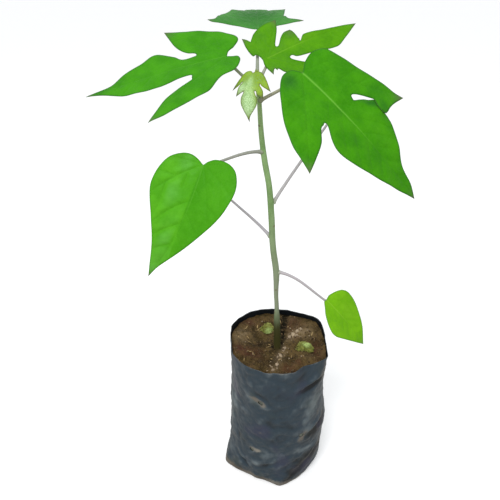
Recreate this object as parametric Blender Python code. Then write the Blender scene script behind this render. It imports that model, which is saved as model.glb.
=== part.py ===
"""A papaya seedling in a black polythene nursery bag.

Metres, +Z up. The origin is on the bag's flat underside, under the middle of the bag.
The stem leaves the soil, leans back over the bag and carries eight leaves on long stalks,
with a ninth still unfolding at the tip. Leaf sizes are in millimetres, turned by MM.
"""

import bpy
import bmesh
import numpy as np
from collections import namedtuple
from math import cos, degrees, pi, radians, sin, sqrt
from mathutils import Vector, noise
from mathutils.geometry import delaunay_2d_cdt, interpolate_bezier

MM = 0.001
GAP = 0.3 * MM                 # clearance between touching pieces
SHARP_ANGLE = radians(50)      # bends sharper than this stay as edges

# ---- nursery bag -----------------------------------------------------------------------
BAG_HEIGHT = 0.1715            # filled height, from the underside to the rim
BAG_WALL = 0.0010
BAG_FOOT_MIDDLE = Vector((0.0, 0.0010))
BAG_SHIFT = Vector((0.0074, 0.0055))      # the rim's middle, from the foot's middle
BAG_BELLY = 0.0020             # how far the bag leans out again at mid height
RIM_RISE = 0.0015              # the rim stands higher at the back
RIM_WAVE = 0.0007
BAG_SIDES = 40
# Ring heights, and how far each ring is drawn in where the foot is rounded.
BAG_LEVELS = ((0.0, 0.0025), (0.0015, 0.0009), (0.0045, 0.0), (0.014, 0.0), (0.026, 0.0), (0.042, 0.0),
              (0.057, 0.0), (0.075, 0.0), (0.100, 0.0), (0.125, 0.0), (0.148, 0.0), (0.160, 0.0))
# The film's shape by height: how far it stands from the bag's middle line, in millimetres, at each
# direction in degrees. The foot keeps the flat bag's corners and the walls bulge with soil.
Ring = namedtuple("Ring", "z reaches")
BAG_RINGS = (
    Ring(0.0, ((-172, 51.2), (-160, 45.0), (-146, 38.4), (-131, 34.0), (-118, 33.8), (-98, 33.8),
               (-86, 37.0), (-75, 41.8), (-67, 42.0), (-51, 42.6), (-39, 44.6), (-27, 47.0),
               (-12, 49.8), (5, 49.6), (30, 47.5), (55, 45.0), (80, 43.0), (105, 42.5), (130, 42.5),
               (155, 43.5), (173, 47.5))),
    Ring(14.0, ((-173, 50.4), (-157, 46.2), (-135, 39.6), (-112, 38.2), (-90, 39.6), (-72, 43.0),
                (-50, 45.0), (-30, 49.4), (-8, 53.8), (20, 52.0), (45, 49.5), (70, 46.5), (95, 45.0),
                (120, 45.0), (145, 45.8), (167, 48.0))),
    Ring(35.0, ((-177, 50.4), (-155, 48.2), (-135, 45.0), (-112, 43.8), (-90, 44.0), (-67, 46.0),
                (-45, 48.5), (-25, 51.0), (-10, 51.4), (20, 50.6), (45, 50.0), (70, 48.5), (95, 48.0),
                (120, 48.0), (145, 49.0), (165, 49.6))),
    Ring(57.0, ((-177, 51.6), (-150, 49.4), (-120, 46.6), (-90, 46.4), (-60, 48.4), (-35, 50.8),
                (-11, 51.0), (15, 50.6), (45, 50.3), (75, 49.6), (105, 49.2), (135, 49.6), (160, 50.4))),
    Ring(73.0, ((-177, 50.1), (-150, 49.0), (-120, 47.8), (-90, 47.6), (-60, 49.2), (-35, 51.2),
                (-11, 52.4), (15, 51.2), (45, 50.5), (75, 50.5), (105, 50.0), (135, 50.0), (160, 50.0))),
    Ring(100.0, ((-177, 50.8), (-150, 49.2), (-120, 48.4), (-90, 48.3), (-60, 49.6), (-38, 50.2),
                 (-12, 48.8), (15, 49.5), (45, 50.5), (75, 50.0), (105, 50.0), (135, 50.2), (160, 50.5))),
    Ring(125.0, ((-177, 49.6), (-150, 49.3), (-120, 49.0), (-90, 48.6), (-60, 49.4), (-35, 49.6),
                 (-12, 47.8), (15, 48.8), (45, 50.8), (75, 50.0), (105, 50.2), (135, 50.4), (160, 50.2))),
    Ring(148.0, ((-177, 48.8), (-150, 50.0), (-120, 50.4), (-90, 49.2), (-60, 48.4), (-35, 51.6),
                 (-12, 49.6), (15, 50.0), (40, 53.0), (70, 50.0), (105, 51.0), (135, 51.2), (160, 50.6))),
    Ring(171.5, ((-177, 48.4), (-155, 50.3), (-135, 51.0), (-115, 51.4), (-95, 49.4), (-75, 49.6),
                 (-57, 46.8), (-41, 50.6), (-30, 53.6), (-15, 50.4), (3, 48.8), (20, 51.0), (37, 55.0),
                 (52, 52.0), (70, 49.6), (90, 49.8), (108, 51.8), (120, 52.4), (135, 51.6), (150, 52.6),
                 (166, 50.2))),
)

# ---- soil ------------------------------------------------------------------------------
SOIL_LEVEL = 0.164             # where the stem leaves it
SOIL_LUMPS = 0.0030
SOIL_LUMP_RATE = 90.0          # lumps per metre, roughly
SOIL_CALM = (0.008, 0.018)     # the lumps fade in between these distances from the stem
SOIL_RINGS = 6
SOIL_SHOULDER = 0.03           # the top starts this share inside the bag's wall
SOIL_LEVEL_SHARE = 0.16        # the innermost ring, as a share of the way to the wall

# ---- stem ------------------------------------------------------------------------------
STEM_SIDES = 12
StemNode = namedtuple("StemNode", "x z radius")
STEM = (
    StemNode(6.4, 164.3, 3.9),     # root flare, cut flat at the soil
    StemNode(6.4, 167.0, 3.7),
    StemNode(6.1, 178.0, 3.45),
    StemNode(5.5, 196.0, 3.25),
    StemNode(5.1, 206.0, 2.75),
    StemNode(4.7, 216.0, 2.15),
    StemNode(3.7, 233.0, 2.15),
    StemNode(3.2, 256.7, 2.95),    # lowest leaf's joint
    StemNode(-0.4, 284.0, 2.8),
    StemNode(-2.4, 315.0, 2.8),
    StemNode(-4.9, 343.0, 2.65),
    StemNode(-9.0, 365.5, 2.5),
    StemNode(-12.0, 388.0, 2.15),
    StemNode(-13.8, 413.0, 1.8),
    StemNode(-15.3, 428.2, 1.6),
    StemNode(-15.9, 437.1, 1.0),   # growing tip
)

# ---- stalks ----------------------------------------------------------------------------
STALK_FOOT = 1.35 * MM         # a stalk's radius at the stem
STALK_TIP = 0.85 * MM          # and at the blade
STALK_POINTS = 14
STALK_SIDES = 8

# ---- leaves ----------------------------------------------------------------------------
BLADE_THICK = 1.3 * MM
MARGIN_STEP = 4.2 * MM         # spacing of the points along a blade's edge
GRID_STEP = 9.0 * MM           # spacing of the points inside it
GRID_CLEAR = 0.55              # how near the edge they come, as a share of their spacing
FOLD_SOFT = 4.0 * MM           # the valley along the midrib is rounded over this width

# A side is told by (share of the lobe's length, half-width) pairs, from its foot to its tip.
Lobe = namedtuple("Lobe", "angle reach right left")
# A bay between two lobes: its direction, its depth from the joint, and the width of its round end.
Bay = namedtuple("Bay", "angle depth width")
# joint: where stalk and blade meet. heading, pitch, roll: how the blade lies, in degrees.
# length: its midrib. droop: how far the tip bends down. fold: the valley along the midrib.
# notch: how far behind the joint the blade's cleft ends.
# ears: (back, out) pairs round the round corners beside the cleft, on the right and left.
# stem_z: where the stalk leaves the stem. launch: its first pitch. spring: its bow.
# tuck: how squarely it meets the blade from beneath.
Leaf = namedtuple("Leaf", "joint heading pitch roll length droop fold sag notch right_ear left_ear "
                          "margin stem_z launch spring tuck")

LEAVES = {
    "front_right": Leaf(
        joint=(15.0, -40.0, 444.8), heading=-30.2, pitch=-28.0, roll=27.0, length=116.5,
        droop=24.0, fold=0.12, sag=0.08, notch=0.0,
        right_ear=((2.6, 1.5), (6.9, 5.4), (7.6, 13.5), (1.6, 24.0)),
        left_ear=((1.5, 3.0), (4.6, 9.0), (5.6, 18.5), (1.5, 27.0)),
        margin=(
            Lobe(-48.9, 78.9, ((0.36, 17.0), (0.58, 15.6), (0.78, 10.3)),
                 ((0.56, 10.2), (0.70, 9.7), (0.86, 5.2))),
            Bay(-30.9, 41.9, 1.6),
            Lobe(0.0, 122.8, ((0.42, 29.8), (0.51, 29.4), (0.65, 23.0), (0.83, 12.3)),
                 ((0.317, 10.0), (0.34, 14.1), (0.362, 16.6), (0.383, 18.6), (0.41, 20.3), (0.455, 21.0),
                  (0.51, 21.5), (0.572, 20.0), (0.69, 12.6), (0.80, 5.6), (0.91, 3.0))),
            Bay(17.8, 37.2, 1.9),
            Lobe(32.9, 75.4, ((0.56, 7.8), (0.65, 7.9), (0.70, 8.0), (0.755, 9.8), (0.81, 12.0),
                              (0.852, 12.9), (0.872, 10.2), (0.92, 5.8)),
                 ((0.23, 22.4), (0.42, 15.8), (0.61, 10.2), (0.88, 2.4))),
        ),
        stem_z=416.5, launch=29.0, spring=0.30, tuck=0.25),
    "left": Leaf(
        joint=(-38.5, 0.0, 448.8), heading=-163.5, pitch=-2.5, roll=-28.0, length=108.5,
        droop=20.0, fold=0.10, sag=0.08, notch=0.0,
        right_ear=((2.5, 5.0), (8.0, 9.5), (13.2, 19.2), (3.4, 25.8)),
        left_ear=((4.0, 1.0), (8.4, 1.5), (8.6, 6.5), (1.4, 17.0)),
        margin=(
            Lobe(-41.2, 54.3, ((0.34, 20.0), (0.62, 11.2), (0.87, 4.2)),
                 ((0.50, 11.6), (0.60, 12.2), (0.73, 9.6))),
            Bay(-14.9, 22.8, 1.6),
            Lobe(-2.6, 113.0, ((0.30, 2.7), (0.345, 6.4), (0.46, 13.2), (0.56, 9.0), (0.70, 4.2),
                               (0.81, -1.2)),
                 ((0.36, 17.6), (0.49, 21.8), (0.71, 18.2), (0.90, 5.0))),
            Bay(27.4, 34.1, 1.6),
            Lobe(35.8, 85.6, ((0.44, 1.6), (0.62, 4.4), (0.78, 3.8)),
                 ((0.25, 12.6), (0.48, 15.6), (0.82, 7.0))),
        ),
        stem_z=427.5, launch=36.0, spring=0.30, tuck=0.25),
    "back_right": Leaf(
        joint=(-7.1, 16.0, 444.5), heading=13.4, pitch=26.1, roll=52.0, length=75.0,
        droop=16.0, fold=0.10, sag=0.05, notch=4.4,
        right_ear=((5.1, 2.9),), left_ear=((4.9, 3.3), (6.9, 6.8)),
        margin=(
            Lobe(-101.0, 14.6, ((0.50, 3.7),), ((0.70, 2.3),)),
            Bay(-79.0, 12.0, 0.8),
            Lobe(-45.0, 52.5, ((0.30, 7.8), (0.55, 7.3)), ((0.50, 4.1), (0.70, 4.9))),
            Bay(-28.0, 17.2, 1.6),
            Lobe(-3.3, 80.0, ((0.26, 8.9), (0.42, 11.2), (0.67, 14.2), (0.79, 9.9)),
                 ((0.42, 5.7), (0.65, 3.3))),
            Bay(1.8, 28.6, 0.6),
            Lobe(24.3, 28.4, ((0.96, 9.0), (0.99, 6.2), (1.01, 3.0)), ((0.66, 1.8), (0.83, 2.4))),
            Bay(27.9, 11.2, 1.4),
            Lobe(50.3, 30.6, ((0.77, 2.4),), ((0.56, 14.4), (0.80, 9.2))),
            Bay(107.0, 18.7, 0.4),
            Lobe(114.0, 25.7, ((0.86, 1.4),), ((0.40, 5.8), (0.72, 3.9))),
        ),
        stem_z=430.0, launch=45.0, spring=0.30, tuck=0.60),
    "back": Leaf(
        joint=(-14.6, 55.0, 460.6), heading=92.0, pitch=21.5, roll=0.0, length=81.8,
        droop=30.0, fold=0.05, sag=0.05, notch=0.0,
        right_ear=((1.2, 2.6), (0.0, 8.2)), left_ear=((1.2, 2.6), (0.0, 8.2)),
        margin=(
            Lobe(-71.7, 41.4, ((0.47, 1.2), (0.88, 1.2)), ((0.76, 8.6),)),
            Bay(-44.7, 33.2, 0.8),
            Lobe(-27.0, 60.0, ((0.70, 6.5),), ((0.86, 3.4),)),
            Bay(-14.5, 48.0, 1.2),
            Lobe(-1.0, 76.0, ((0.74, 8.8), (0.88, 5.0)), ((0.74, 8.8), (0.88, 5.0))),
            Bay(12.0, 50.0, 1.0),
            Lobe(20.5, 60.0, ((0.90, 2.6),), ((0.76, 8.4),)),
            Bay(52.0, 40.0, 1.0),
            Lobe(69.7, 45.0, ((0.88, 3.5),), ((0.44, 1.6), (0.88, 2.5))),
        ),
        stem_z=433.0, launch=45.0, spring=0.30, tuck=0.25),
    "heart_left": Leaf(
        joint=(-57.4, -30.0, 373.7), heading=-135.6, pitch=-55.7, roll=-29.1, length=103.5,
        droop=20.0, fold=0.25, sag=0.05, notch=0.0,
        right_ear=((2.8, 5.7), (4.0, 11.5), (2.2, 18.0)),
        left_ear=((4.0, 3.0), (7.6, 9.0), (8.0, 19.9), (3.0, 28.5)),
        margin=(
            Lobe(-6.7, 105.7, ((0.07, 25.3), (0.17, 28.5), (0.28, 28.7), (0.36, 26.2), (0.55, 15.7),
                               (0.72, 7.8)),
                 ((0.05, 34.0), (0.17, 34.6), (0.31, 31.7), (0.54, 22.0), (0.72, 12.8), (0.88, 4.2))),
        ),
        stem_z=374.3, launch=14.0, spring=0.33, tuck=0.25),
    "low_right": Leaf(
        joint=(51.4, -5.0, 228.5), heading=-22.4, pitch=-39.0, roll=25.0, length=57.8,
        droop=16.0, fold=0.20, sag=0.05, notch=0.0,
        right_ear=((0.6, 3.0),), left_ear=((0.6, 6.0),),
        margin=(
            Lobe(0.0, 60.8, ((0.06, 8.2), (0.16, 14.9), (0.27, 20.0), (0.37, 22.3), (0.46, 21.5),
                             (0.57, 17.5), (0.80, 8.2)),
                 ((0.07, 17.1), (0.15, 20.9), (0.24, 21.7), (0.36, 20.5), (0.61, 14.7), (0.78, 9.8))),
        ),
        stem_z=256.5, launch=-10.0, spring=0.33, tuck=-0.10),
    "shaded_left": Leaf(
        joint=(-52.0, 38.0, 328.0), heading=150.0, pitch=-22.0, roll=-20.0, length=52.0,
        droop=20.0, fold=0.18, sag=0.05, notch=0.0,
        right_ear=((1.5, 4.0), (4.5, 10.0), (2.5, 19.0)),
        left_ear=((1.5, 4.0), (4.5, 10.0), (2.5, 19.0)),
        margin=(
            Lobe(0.0, 55.0, ((0.20, 23.0), (0.45, 20.5), (0.75, 9.5)),
                 ((0.20, 23.0), (0.45, 20.5), (0.75, 9.5))),
        ),
        stem_z=294.9, launch=35.0, spring=0.30, tuck=0.25),
    "shaded_right": Leaf(
        joint=(58.0, 46.0, 402.0), heading=40.0, pitch=-25.0, roll=10.0, length=50.0,
        droop=20.0, fold=0.18, sag=0.05, notch=0.0,
        right_ear=((1.5, 4.0), (4.5, 10.0), (2.5, 19.0)),
        left_ear=((1.5, 4.0), (4.5, 10.0), (2.5, 19.0)),
        margin=(
            Lobe(0.0, 53.0, ((0.20, 22.0), (0.45, 19.5), (0.75, 9.0)),
                 ((0.20, 22.0), (0.45, 19.5), (0.75, 9.0))),
        ),
        stem_z=328.0, launch=50.0, spring=0.25, tuck=0.25),
    "young": Leaf(
        joint=(-19.0, -7.0, 438.0), heading=-108.0, pitch=-28.0, roll=2.0, length=38.0,
        droop=70.0, fold=-0.45, sag=0.10, notch=0.0,
        right_ear=((2.0, 2.0), (2.6, 6.0)),
        left_ear=((2.0, 2.0), (2.6, 6.0)),
        margin=(
            Lobe(-47.5, 20.4, ((0.45, 4.2),), ((0.62, 1.6),)),
            Bay(-39.5, 10.5, 0.35),
            Lobe(-31.5, 21.6, ((0.66, 1.2),), ((0.62, 3.2),)),
            Bay(-9.0, 14.0, 0.5),
            Lobe(0.0, 41.0, ((0.42, 2.6), (0.60, 6.2), (0.84, 2.2)),
                 ((0.38, 3.0), (0.58, 6.6), (0.82, 2.8))),
            Bay(15.0, 12.5, 0.5),
            Lobe(28.0, 23.0, ((0.70, 3.2),), ((0.74, 2.2),)),
            Bay(38.5, 11.5, 0.45),
            Lobe(49.5, 20.3, ((0.62, 2.2),), ((0.50, 4.6),)),
        ),
        stem_z=434.0, launch=20.0, spring=0.30, tuck=0.25),
}


# ---- working out the shapes ------------------------------------------------------------

def material(name, colour, roughness):
    """A plain finish: sRGB hex colour, roughness, never metallic."""
    mat = bpy.data.materials.new(name)
    mat.use_nodes = True
    shader = mat.node_tree.nodes["Principled BSDF"]
    channels = [int(colour[i:i + 2], 16) / 255 for i in (1, 3, 5)]
    linear = [c / 12.92 if c <= 0.04045 else ((c + 0.055) / 1.055) ** 2.4 for c in channels]
    shader.inputs["Base Color"].default_value = (*linear, 1.0)
    shader.inputs["Roughness"].default_value = roughness
    shader.inputs["Metallic"].default_value = 0.0
    mat.diffuse_color = (*linear, 1.0)
    return mat


def add_object(name, data, mat):
    """Put a mesh or curve in the scene under its own name and finish."""
    data.materials.append(mat)
    obj = bpy.data.objects.new(name, data)
    bpy.context.scene.collection.objects.link(obj)
    return obj


def ring_mesh(name, rings):
    """A closed skin over rings of equal point counts, capped at both ends."""
    mesh = bpy.data.meshes.new(name)
    bm = bmesh.new()
    loops = [[bm.verts.new(point) for point in ring] for ring in rings]
    for lower, upper in zip(loops, loops[1:]):
        for i in range(len(lower)):
            j = (i + 1) % len(lower)
            bm.faces.new((lower[i], lower[j], upper[j], upper[i]))
    bm.faces.new(list(reversed(loops[0])))
    bm.faces.new(loops[-1])
    bm.normal_update()
    bmesh.ops.triangulate(bm, faces=bm.faces)
    bm.to_mesh(mesh)
    bm.free()
    mesh.shade_smooth()
    mesh.set_sharp_from_angle(angle=SHARP_ANGLE)
    return mesh


def smooth_between(low, high, value):
    """0 below low, 1 above high, with an easy S between them."""
    share = min(1.0, max(0.0, (value - low) / (high - low)))
    return share * share * (3 - 2 * share)


# ---- bag and soil ----------------------------------------------------------------------

def bag_middle(z):
    """The bag's middle line leans over its foot, bellies out and rises to the rim."""
    belly = Vector((BAG_BELLY * sin(pi * z / BAG_HEIGHT), 0.0))
    return BAG_FOOT_MIDDLE + BAG_SHIFT * smooth_between(-0.010, 0.055, z) + belly


def between(knots, values, slopes, at):
    """One value of the smooth curve with these values and slopes at its knots."""
    k = int(np.clip(np.searchsorted(knots, at, side="right") - 1, 0, len(knots) - 2))
    span = knots[k + 1] - knots[k]
    t = (at - knots[k]) / span
    return float(values[k] * (2 * t ** 3 - 3 * t ** 2 + 1) + slopes[k] * span * (t ** 3 - 2 * t ** 2 + t)
                 + values[k + 1] * (3 * t ** 2 - 2 * t ** 3) + slopes[k + 1] * span * (t ** 3 - t ** 2))


def ring_reach(ring, turn):
    """The film's reach in one direction at a ring's height, in millimetres."""
    turns, reaches = (np.array(column, float) for column in zip(*ring.reaches))
    turns = np.concatenate([turns - 360, turns, turns + 360])
    reaches = np.tile(reaches, 3)
    return between(turns, reaches, np.gradient(reaches, turns), (degrees(turn) + 180) % 360 - 180)


def bag_radius(turn, z):
    """The outer skin, from the cornered foot to the open rim."""
    heights = np.array([ring.z for ring in BAG_RINGS])
    reaches = np.array([ring_reach(ring, turn) for ring in BAG_RINGS])
    return between(heights, reaches, np.gradient(reaches, heights), z / MM) * MM


def bag_ring(z, inset, rise=0.0, wave=0.0):
    """One ring of the bag, inset from the outer skin; a rim also rises and waves."""
    middle = bag_middle(z)
    ring = []
    for i in range(BAG_SIDES):
        turn = 2 * pi * i / BAG_SIDES
        radius = bag_radius(turn, z) - inset
        lift = rise * sin(turn) + wave * (sin(3 * turn + 0.6) + 0.6 * sin(5 * turn))
        ring.append(Vector((middle.x + radius * cos(turn), middle.y + radius * sin(turn), z + lift)))
    return ring


def grow_bag(mat):
    """A thin-walled open bag with a flat underside."""
    rings = [bag_ring(z, tuck) for z, tuck in BAG_LEVELS]
    rings.append(bag_ring(BAG_HEIGHT, 0.0, RIM_RISE, RIM_WAVE))
    rings.append(bag_ring(BAG_HEIGHT, BAG_WALL, RIM_RISE, RIM_WAVE))
    rings += [bag_ring(z, tuck + BAG_WALL) for z, tuck in reversed(BAG_LEVELS[1:])]
    rings.append(bag_ring(BAG_WALL, BAG_LEVELS[0][1] + BAG_WALL))
    return add_object("grow_bag", ring_mesh("grow_bag", rings), mat)


def soil(mat):
    """The potting mix fills the bag; its top is lumpy, but level where the stem stands."""
    inset = BAG_WALL + GAP
    rings = [bag_ring(BAG_WALL + GAP, BAG_LEVELS[0][1] + inset)]
    rings += [bag_ring(z, tuck + inset) for z, tuck in BAG_LEVELS[2:]]
    stem_foot = Vector((STEM[0].x * MM, 0.0, SOIL_LEVEL))
    edge = rings[-1]
    for k in range(SOIL_RINGS):
        share = 1 - (1 - SOIL_LEVEL_SHARE) * k / (SOIL_RINGS - 1)
        share -= SOIL_SHOULDER
        ring = []
        for corner in edge:
            spot = stem_foot.xy + (corner.xy - stem_foot.xy) * share
            lump = SOIL_LUMPS * noise.noise(Vector((spot.x, spot.y, 0.03)) * SOIL_LUMP_RATE)
            lump *= smooth_between(*SOIL_CALM, (spot - stem_foot.xy).length)
            ring.append(Vector((spot.x, spot.y, SOIL_LEVEL + lump)))
        rings.append(ring)
    return add_object("soil", ring_mesh("soil", rings), mat)


# ---- stem and stalks -------------------------------------------------------------------

def limb(name, path, radii, sides, mat):
    """One tapering limb: a round tube of changing radius along a path, flat at both ends."""
    curve = bpy.data.curves.new(name, "CURVE")
    curve.dimensions = "3D"
    curve.bevel_depth = MM
    curve.bevel_resolution = sides // 2 - 2
    curve.use_fill_caps = True
    spline = curve.splines.new("POLY")
    spline.points.add(len(path) - 1)
    for spot, place, radius in zip(spline.points, path, radii):
        spot.co = (*place, 1.0)
        spot.radius = radius / MM
    spline.use_smooth = True
    return add_object(name, curve, mat)


def stem_at(z):
    """The stem's middle and radius at a height, read between its nodes."""
    for lower, upper in zip(STEM, STEM[1:]):
        if z <= upper.z:
            share = (z - lower.z) / (upper.z - lower.z)
            x = lower.x + (upper.x - lower.x) * share
            radius = lower.radius + (upper.radius - lower.radius) * share
            return Vector((x, 0.0, z)) * MM, radius * MM
    return Vector((STEM[-1].x, 0.0, STEM[-1].z)) * MM, STEM[-1].radius * MM


def stem(mat):
    """The main stem, from a flat cut at the soil to its growing tip."""
    path = [Vector((node.x, 0.0, node.z)) * MM for node in STEM]
    return limb("stem", path, [node.radius * MM for node in STEM], STEM_SIDES, mat)


def stalk_path(leaf, count):
    """From the stem's side at the launch pitch, to the blade's joint from beneath."""
    middle, stem_radius = stem_at(leaf.stem_z)
    along, _, face = blade_frame(leaf)
    joint = Vector(leaf.joint) * MM + along * STALK_TIP
    toward = Vector((joint.x - middle.x, joint.y - middle.y, 0.0)).normalized()
    pitch = radians(leaf.launch)
    launch = toward * cos(pitch) + Vector((0, 0, sin(pitch)))
    start = middle + toward * (stem_radius + GAP + STALK_FOOT * abs(sin(pitch)))
    span = (joint - start).length
    arrive = ((joint - start) / span * (1 - leaf.tuck) + face * leaf.tuck).normalized()
    tilt = sqrt(1 - arrive.dot(face) ** 2)
    end = joint - face * (BLADE_THICK / 2 + GAP + STALK_TIP * tilt)
    return interpolate_bezier(start, start + launch * span * leaf.spring,
                              end - arrive * span * leaf.spring, end, count)


def stalk(name, leaf, mat):
    """A leaf's long stalk, quickest to thin near the stem."""
    path = stalk_path(leaf, STALK_POINTS)
    shares = [i / (STALK_POINTS - 1) for i in range(STALK_POINTS)]
    radii = [STALK_FOOT + (STALK_TIP - STALK_FOOT) * sqrt(share) for share in shares]
    return limb(name, path, radii, STALK_SIDES, mat)


# ---- leaf blades -----------------------------------------------------------------------

def blade_frame(leaf):
    """Unit vectors along the midrib, to its left, and out of the upper face."""
    heading, pitch, roll = (radians(a) for a in (leaf.heading, leaf.pitch, leaf.roll))
    along = Vector((cos(pitch) * cos(heading), cos(pitch) * sin(heading), sin(pitch)))
    level = Vector((-sin(heading), cos(heading), 0.0))
    face = along.cross(level)
    across = level * cos(roll) + face * sin(roll)
    return along, across, face * cos(roll) - level * sin(roll)


def place_on_blade(leaf, u, v):
    """Where a flat point of the blade, u along and v to the left, lies in the plant."""
    along, across, face = blade_frame(leaf)
    length = leaf.length * MM
    bend = max(1e-6, radians(leaf.droop)) / length
    valley = leaf.fold * (sqrt(v * v + FOLD_SOFT ** 2) - FOLD_SOFT)
    rise = valley - leaf.sag * (u * u + v * v) / length
    turn = bend * u
    forward = sin(turn) / bend + rise * sin(turn)
    upward = (cos(turn) - 1) / bend + rise * cos(turn)
    return Vector(leaf.joint) * MM + along * forward + across * v + face * upward


def margin_knots(leaf):
    """The margin's knots in millimetres as (u, v, pointed), from the notch round and back."""
    knots = [(-leaf.notch, 0.0, True)]
    knots += [(-back, -out, False) for back, out in leaf.right_ear]
    for part in leaf.margin:
        c, s = cos(radians(part.angle)), sin(radians(part.angle))
        if isinstance(part, Bay):
            spots = ((part.depth + part.width, -part.width), (part.depth, 0.0),
                     (part.depth + part.width, part.width))
            knots += [(a * c - b * s, a * s + b * c, False) for a, b in spots]
            continue
        spots = [(share * part.reach, -half, False) for share, half in part.right]
        spots.append((part.reach, 0.0, True))
        spots += [(share * part.reach, half, False) for share, half in reversed(part.left)]
        knots += [(a * c - b * s, a * s + b * c, tip) for a, b, tip in spots]
    knots += [(-back, out, False) for back, out in reversed(leaf.left_ear)]
    return knots


def margin_points(leaf, step):
    """The margin as an even smooth line through its knots, sharp only at the pointed ones."""
    knots = margin_knots(leaf)
    count = len(knots)
    points = []
    for i in range(count):
        near, far = knots[i], knots[(i + 1) % count]
        before = near if near[2] else knots[i - 1]
        after = far if far[2] else knots[(i + 2) % count]
        p0, p1, p2, p3 = (Vector((k[0], k[1])) * MM for k in (before, near, far, after))
        chord = (p2 - p1).length
        start = (p2 - p1) if near[2] else (p2 - p0).normalized() * chord
        end = (p2 - p1) if far[2] else (p3 - p1).normalized() * chord
        pieces = max(1, round(chord / step))
        for n in range(pieces):
            t = n / pieces
            points.append(p1 * (2 * t ** 3 - 3 * t ** 2 + 1) + start * (t ** 3 - 2 * t ** 2 + t)
                          + p2 * (3 * t ** 2 - 2 * t ** 3) + end * (t ** 3 - t ** 2))
    return points


def inside(point, outline):
    """Whether a flat point lies inside a closed outline."""
    crossings = False
    for a, b in zip(outline, outline[1:] + outline[:1]):
        if (a.y > point.y) != (b.y > point.y):
            if point.x < a.x + (b.x - a.x) * (point.y - a.y) / (b.y - a.y):
                crossings = not crossings
    return crossings


def edge_distance(point, outline):
    """How far a flat point is from the outline's nearest edge point."""
    return min((point - corner).length for corner in outline)


def blade(name, leaf, mat):
    """A thin lobed sheet, folded along its midrib and drooping to its tips."""
    outline = margin_points(leaf, MARGIN_STEP)
    us = [p.x for p in outline]
    vs = [p.y for p in outline]
    flat = list(outline)
    row = 0
    v = min(vs)
    while v < max(vs):
        u = min(us) + (row % 2) * GRID_STEP / 2
        while u < max(us):
            spot = Vector((u, v))
            if inside(spot, outline) and edge_distance(spot, outline) > GRID_CLEAR * GRID_STEP:
                flat.append(spot)
            u += GRID_STEP
        v += GRID_STEP * sqrt(3) / 2
        row += 1
    edges = [(i, (i + 1) % len(outline)) for i in range(len(outline))]
    spots, _, faces, _, _, _ = delaunay_2d_cdt(flat, edges, [], 1, 1e-7)
    mesh = bpy.data.meshes.new(name)
    mesh.from_pydata([place_on_blade(leaf, p.x, p.y) for p in spots], [], faces)
    mesh.shade_smooth()
    obj = add_object(name, mesh, mat)
    thick = obj.modifiers.new("thickness", "SOLIDIFY")
    thick.thickness = BLADE_THICK
    thick.offset = 0.0
    return obj


# ---- the plant -------------------------------------------------------------------------

def clear_scene():
    """Start from an empty file."""
    for obj in list(bpy.data.objects):
        bpy.data.objects.remove(obj, do_unlink=True)


def build():
    """Bag, soil and stem, then each leaf's stalk and blade."""
    clear_scene()
    grow_bag(material("black_film", "#3c4a52", 0.5))
    soil(material("potting_mix", "#4b3a28", 0.95))
    stem(material("stem_green", "#8fa57a", 0.55))
    stalk_finish = material("stalk_mauve", "#9c9a98", 0.5)
    blade_finish = material("leaf_green", "#4a9a1c", 0.45)
    for name, leaf in LEAVES.items():
        stalk("stalk_" + name, leaf, stalk_finish)
        blade("blade_" + name, leaf, blade_finish)


build()
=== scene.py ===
"""A papaya seedling in its nursery bag, finished: crumpled film, potting mix, stem, stalks and leaves.

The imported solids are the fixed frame. Each is replaced by a finer mesh of the same form, in metres, +Z up,
with the origin under the middle of the bag's foot. Tables of the plant and soil are in millimetres.
"""

from collections import namedtuple
from math import cos, pi, radians, sin, sqrt

import bmesh
import bpy
import numpy as np
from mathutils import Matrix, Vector, noise
from mathutils.geometry import delaunay_2d_cdt, interpolate_bezier


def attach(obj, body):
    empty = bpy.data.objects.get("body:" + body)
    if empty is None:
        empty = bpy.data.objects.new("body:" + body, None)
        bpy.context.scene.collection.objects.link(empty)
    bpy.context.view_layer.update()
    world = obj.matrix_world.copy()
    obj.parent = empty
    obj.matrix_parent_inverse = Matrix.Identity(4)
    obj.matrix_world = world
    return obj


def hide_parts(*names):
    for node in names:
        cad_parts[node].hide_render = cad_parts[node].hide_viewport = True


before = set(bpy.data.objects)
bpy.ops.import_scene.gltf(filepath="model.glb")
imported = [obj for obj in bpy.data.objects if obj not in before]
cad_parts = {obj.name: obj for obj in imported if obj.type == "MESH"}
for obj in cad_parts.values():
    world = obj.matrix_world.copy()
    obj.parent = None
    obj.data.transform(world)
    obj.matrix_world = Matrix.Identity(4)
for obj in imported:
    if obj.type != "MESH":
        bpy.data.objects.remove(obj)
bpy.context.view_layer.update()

MM = 0.001


# ========================================================================================
# Nursery bag
# A seedling bag of thin black polythene, heat-sealed across its foot and punched with drain
# holes. Opened and filled, it creases along its old folds and takes up the lumps of the soil.
# ========================================================================================

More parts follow.
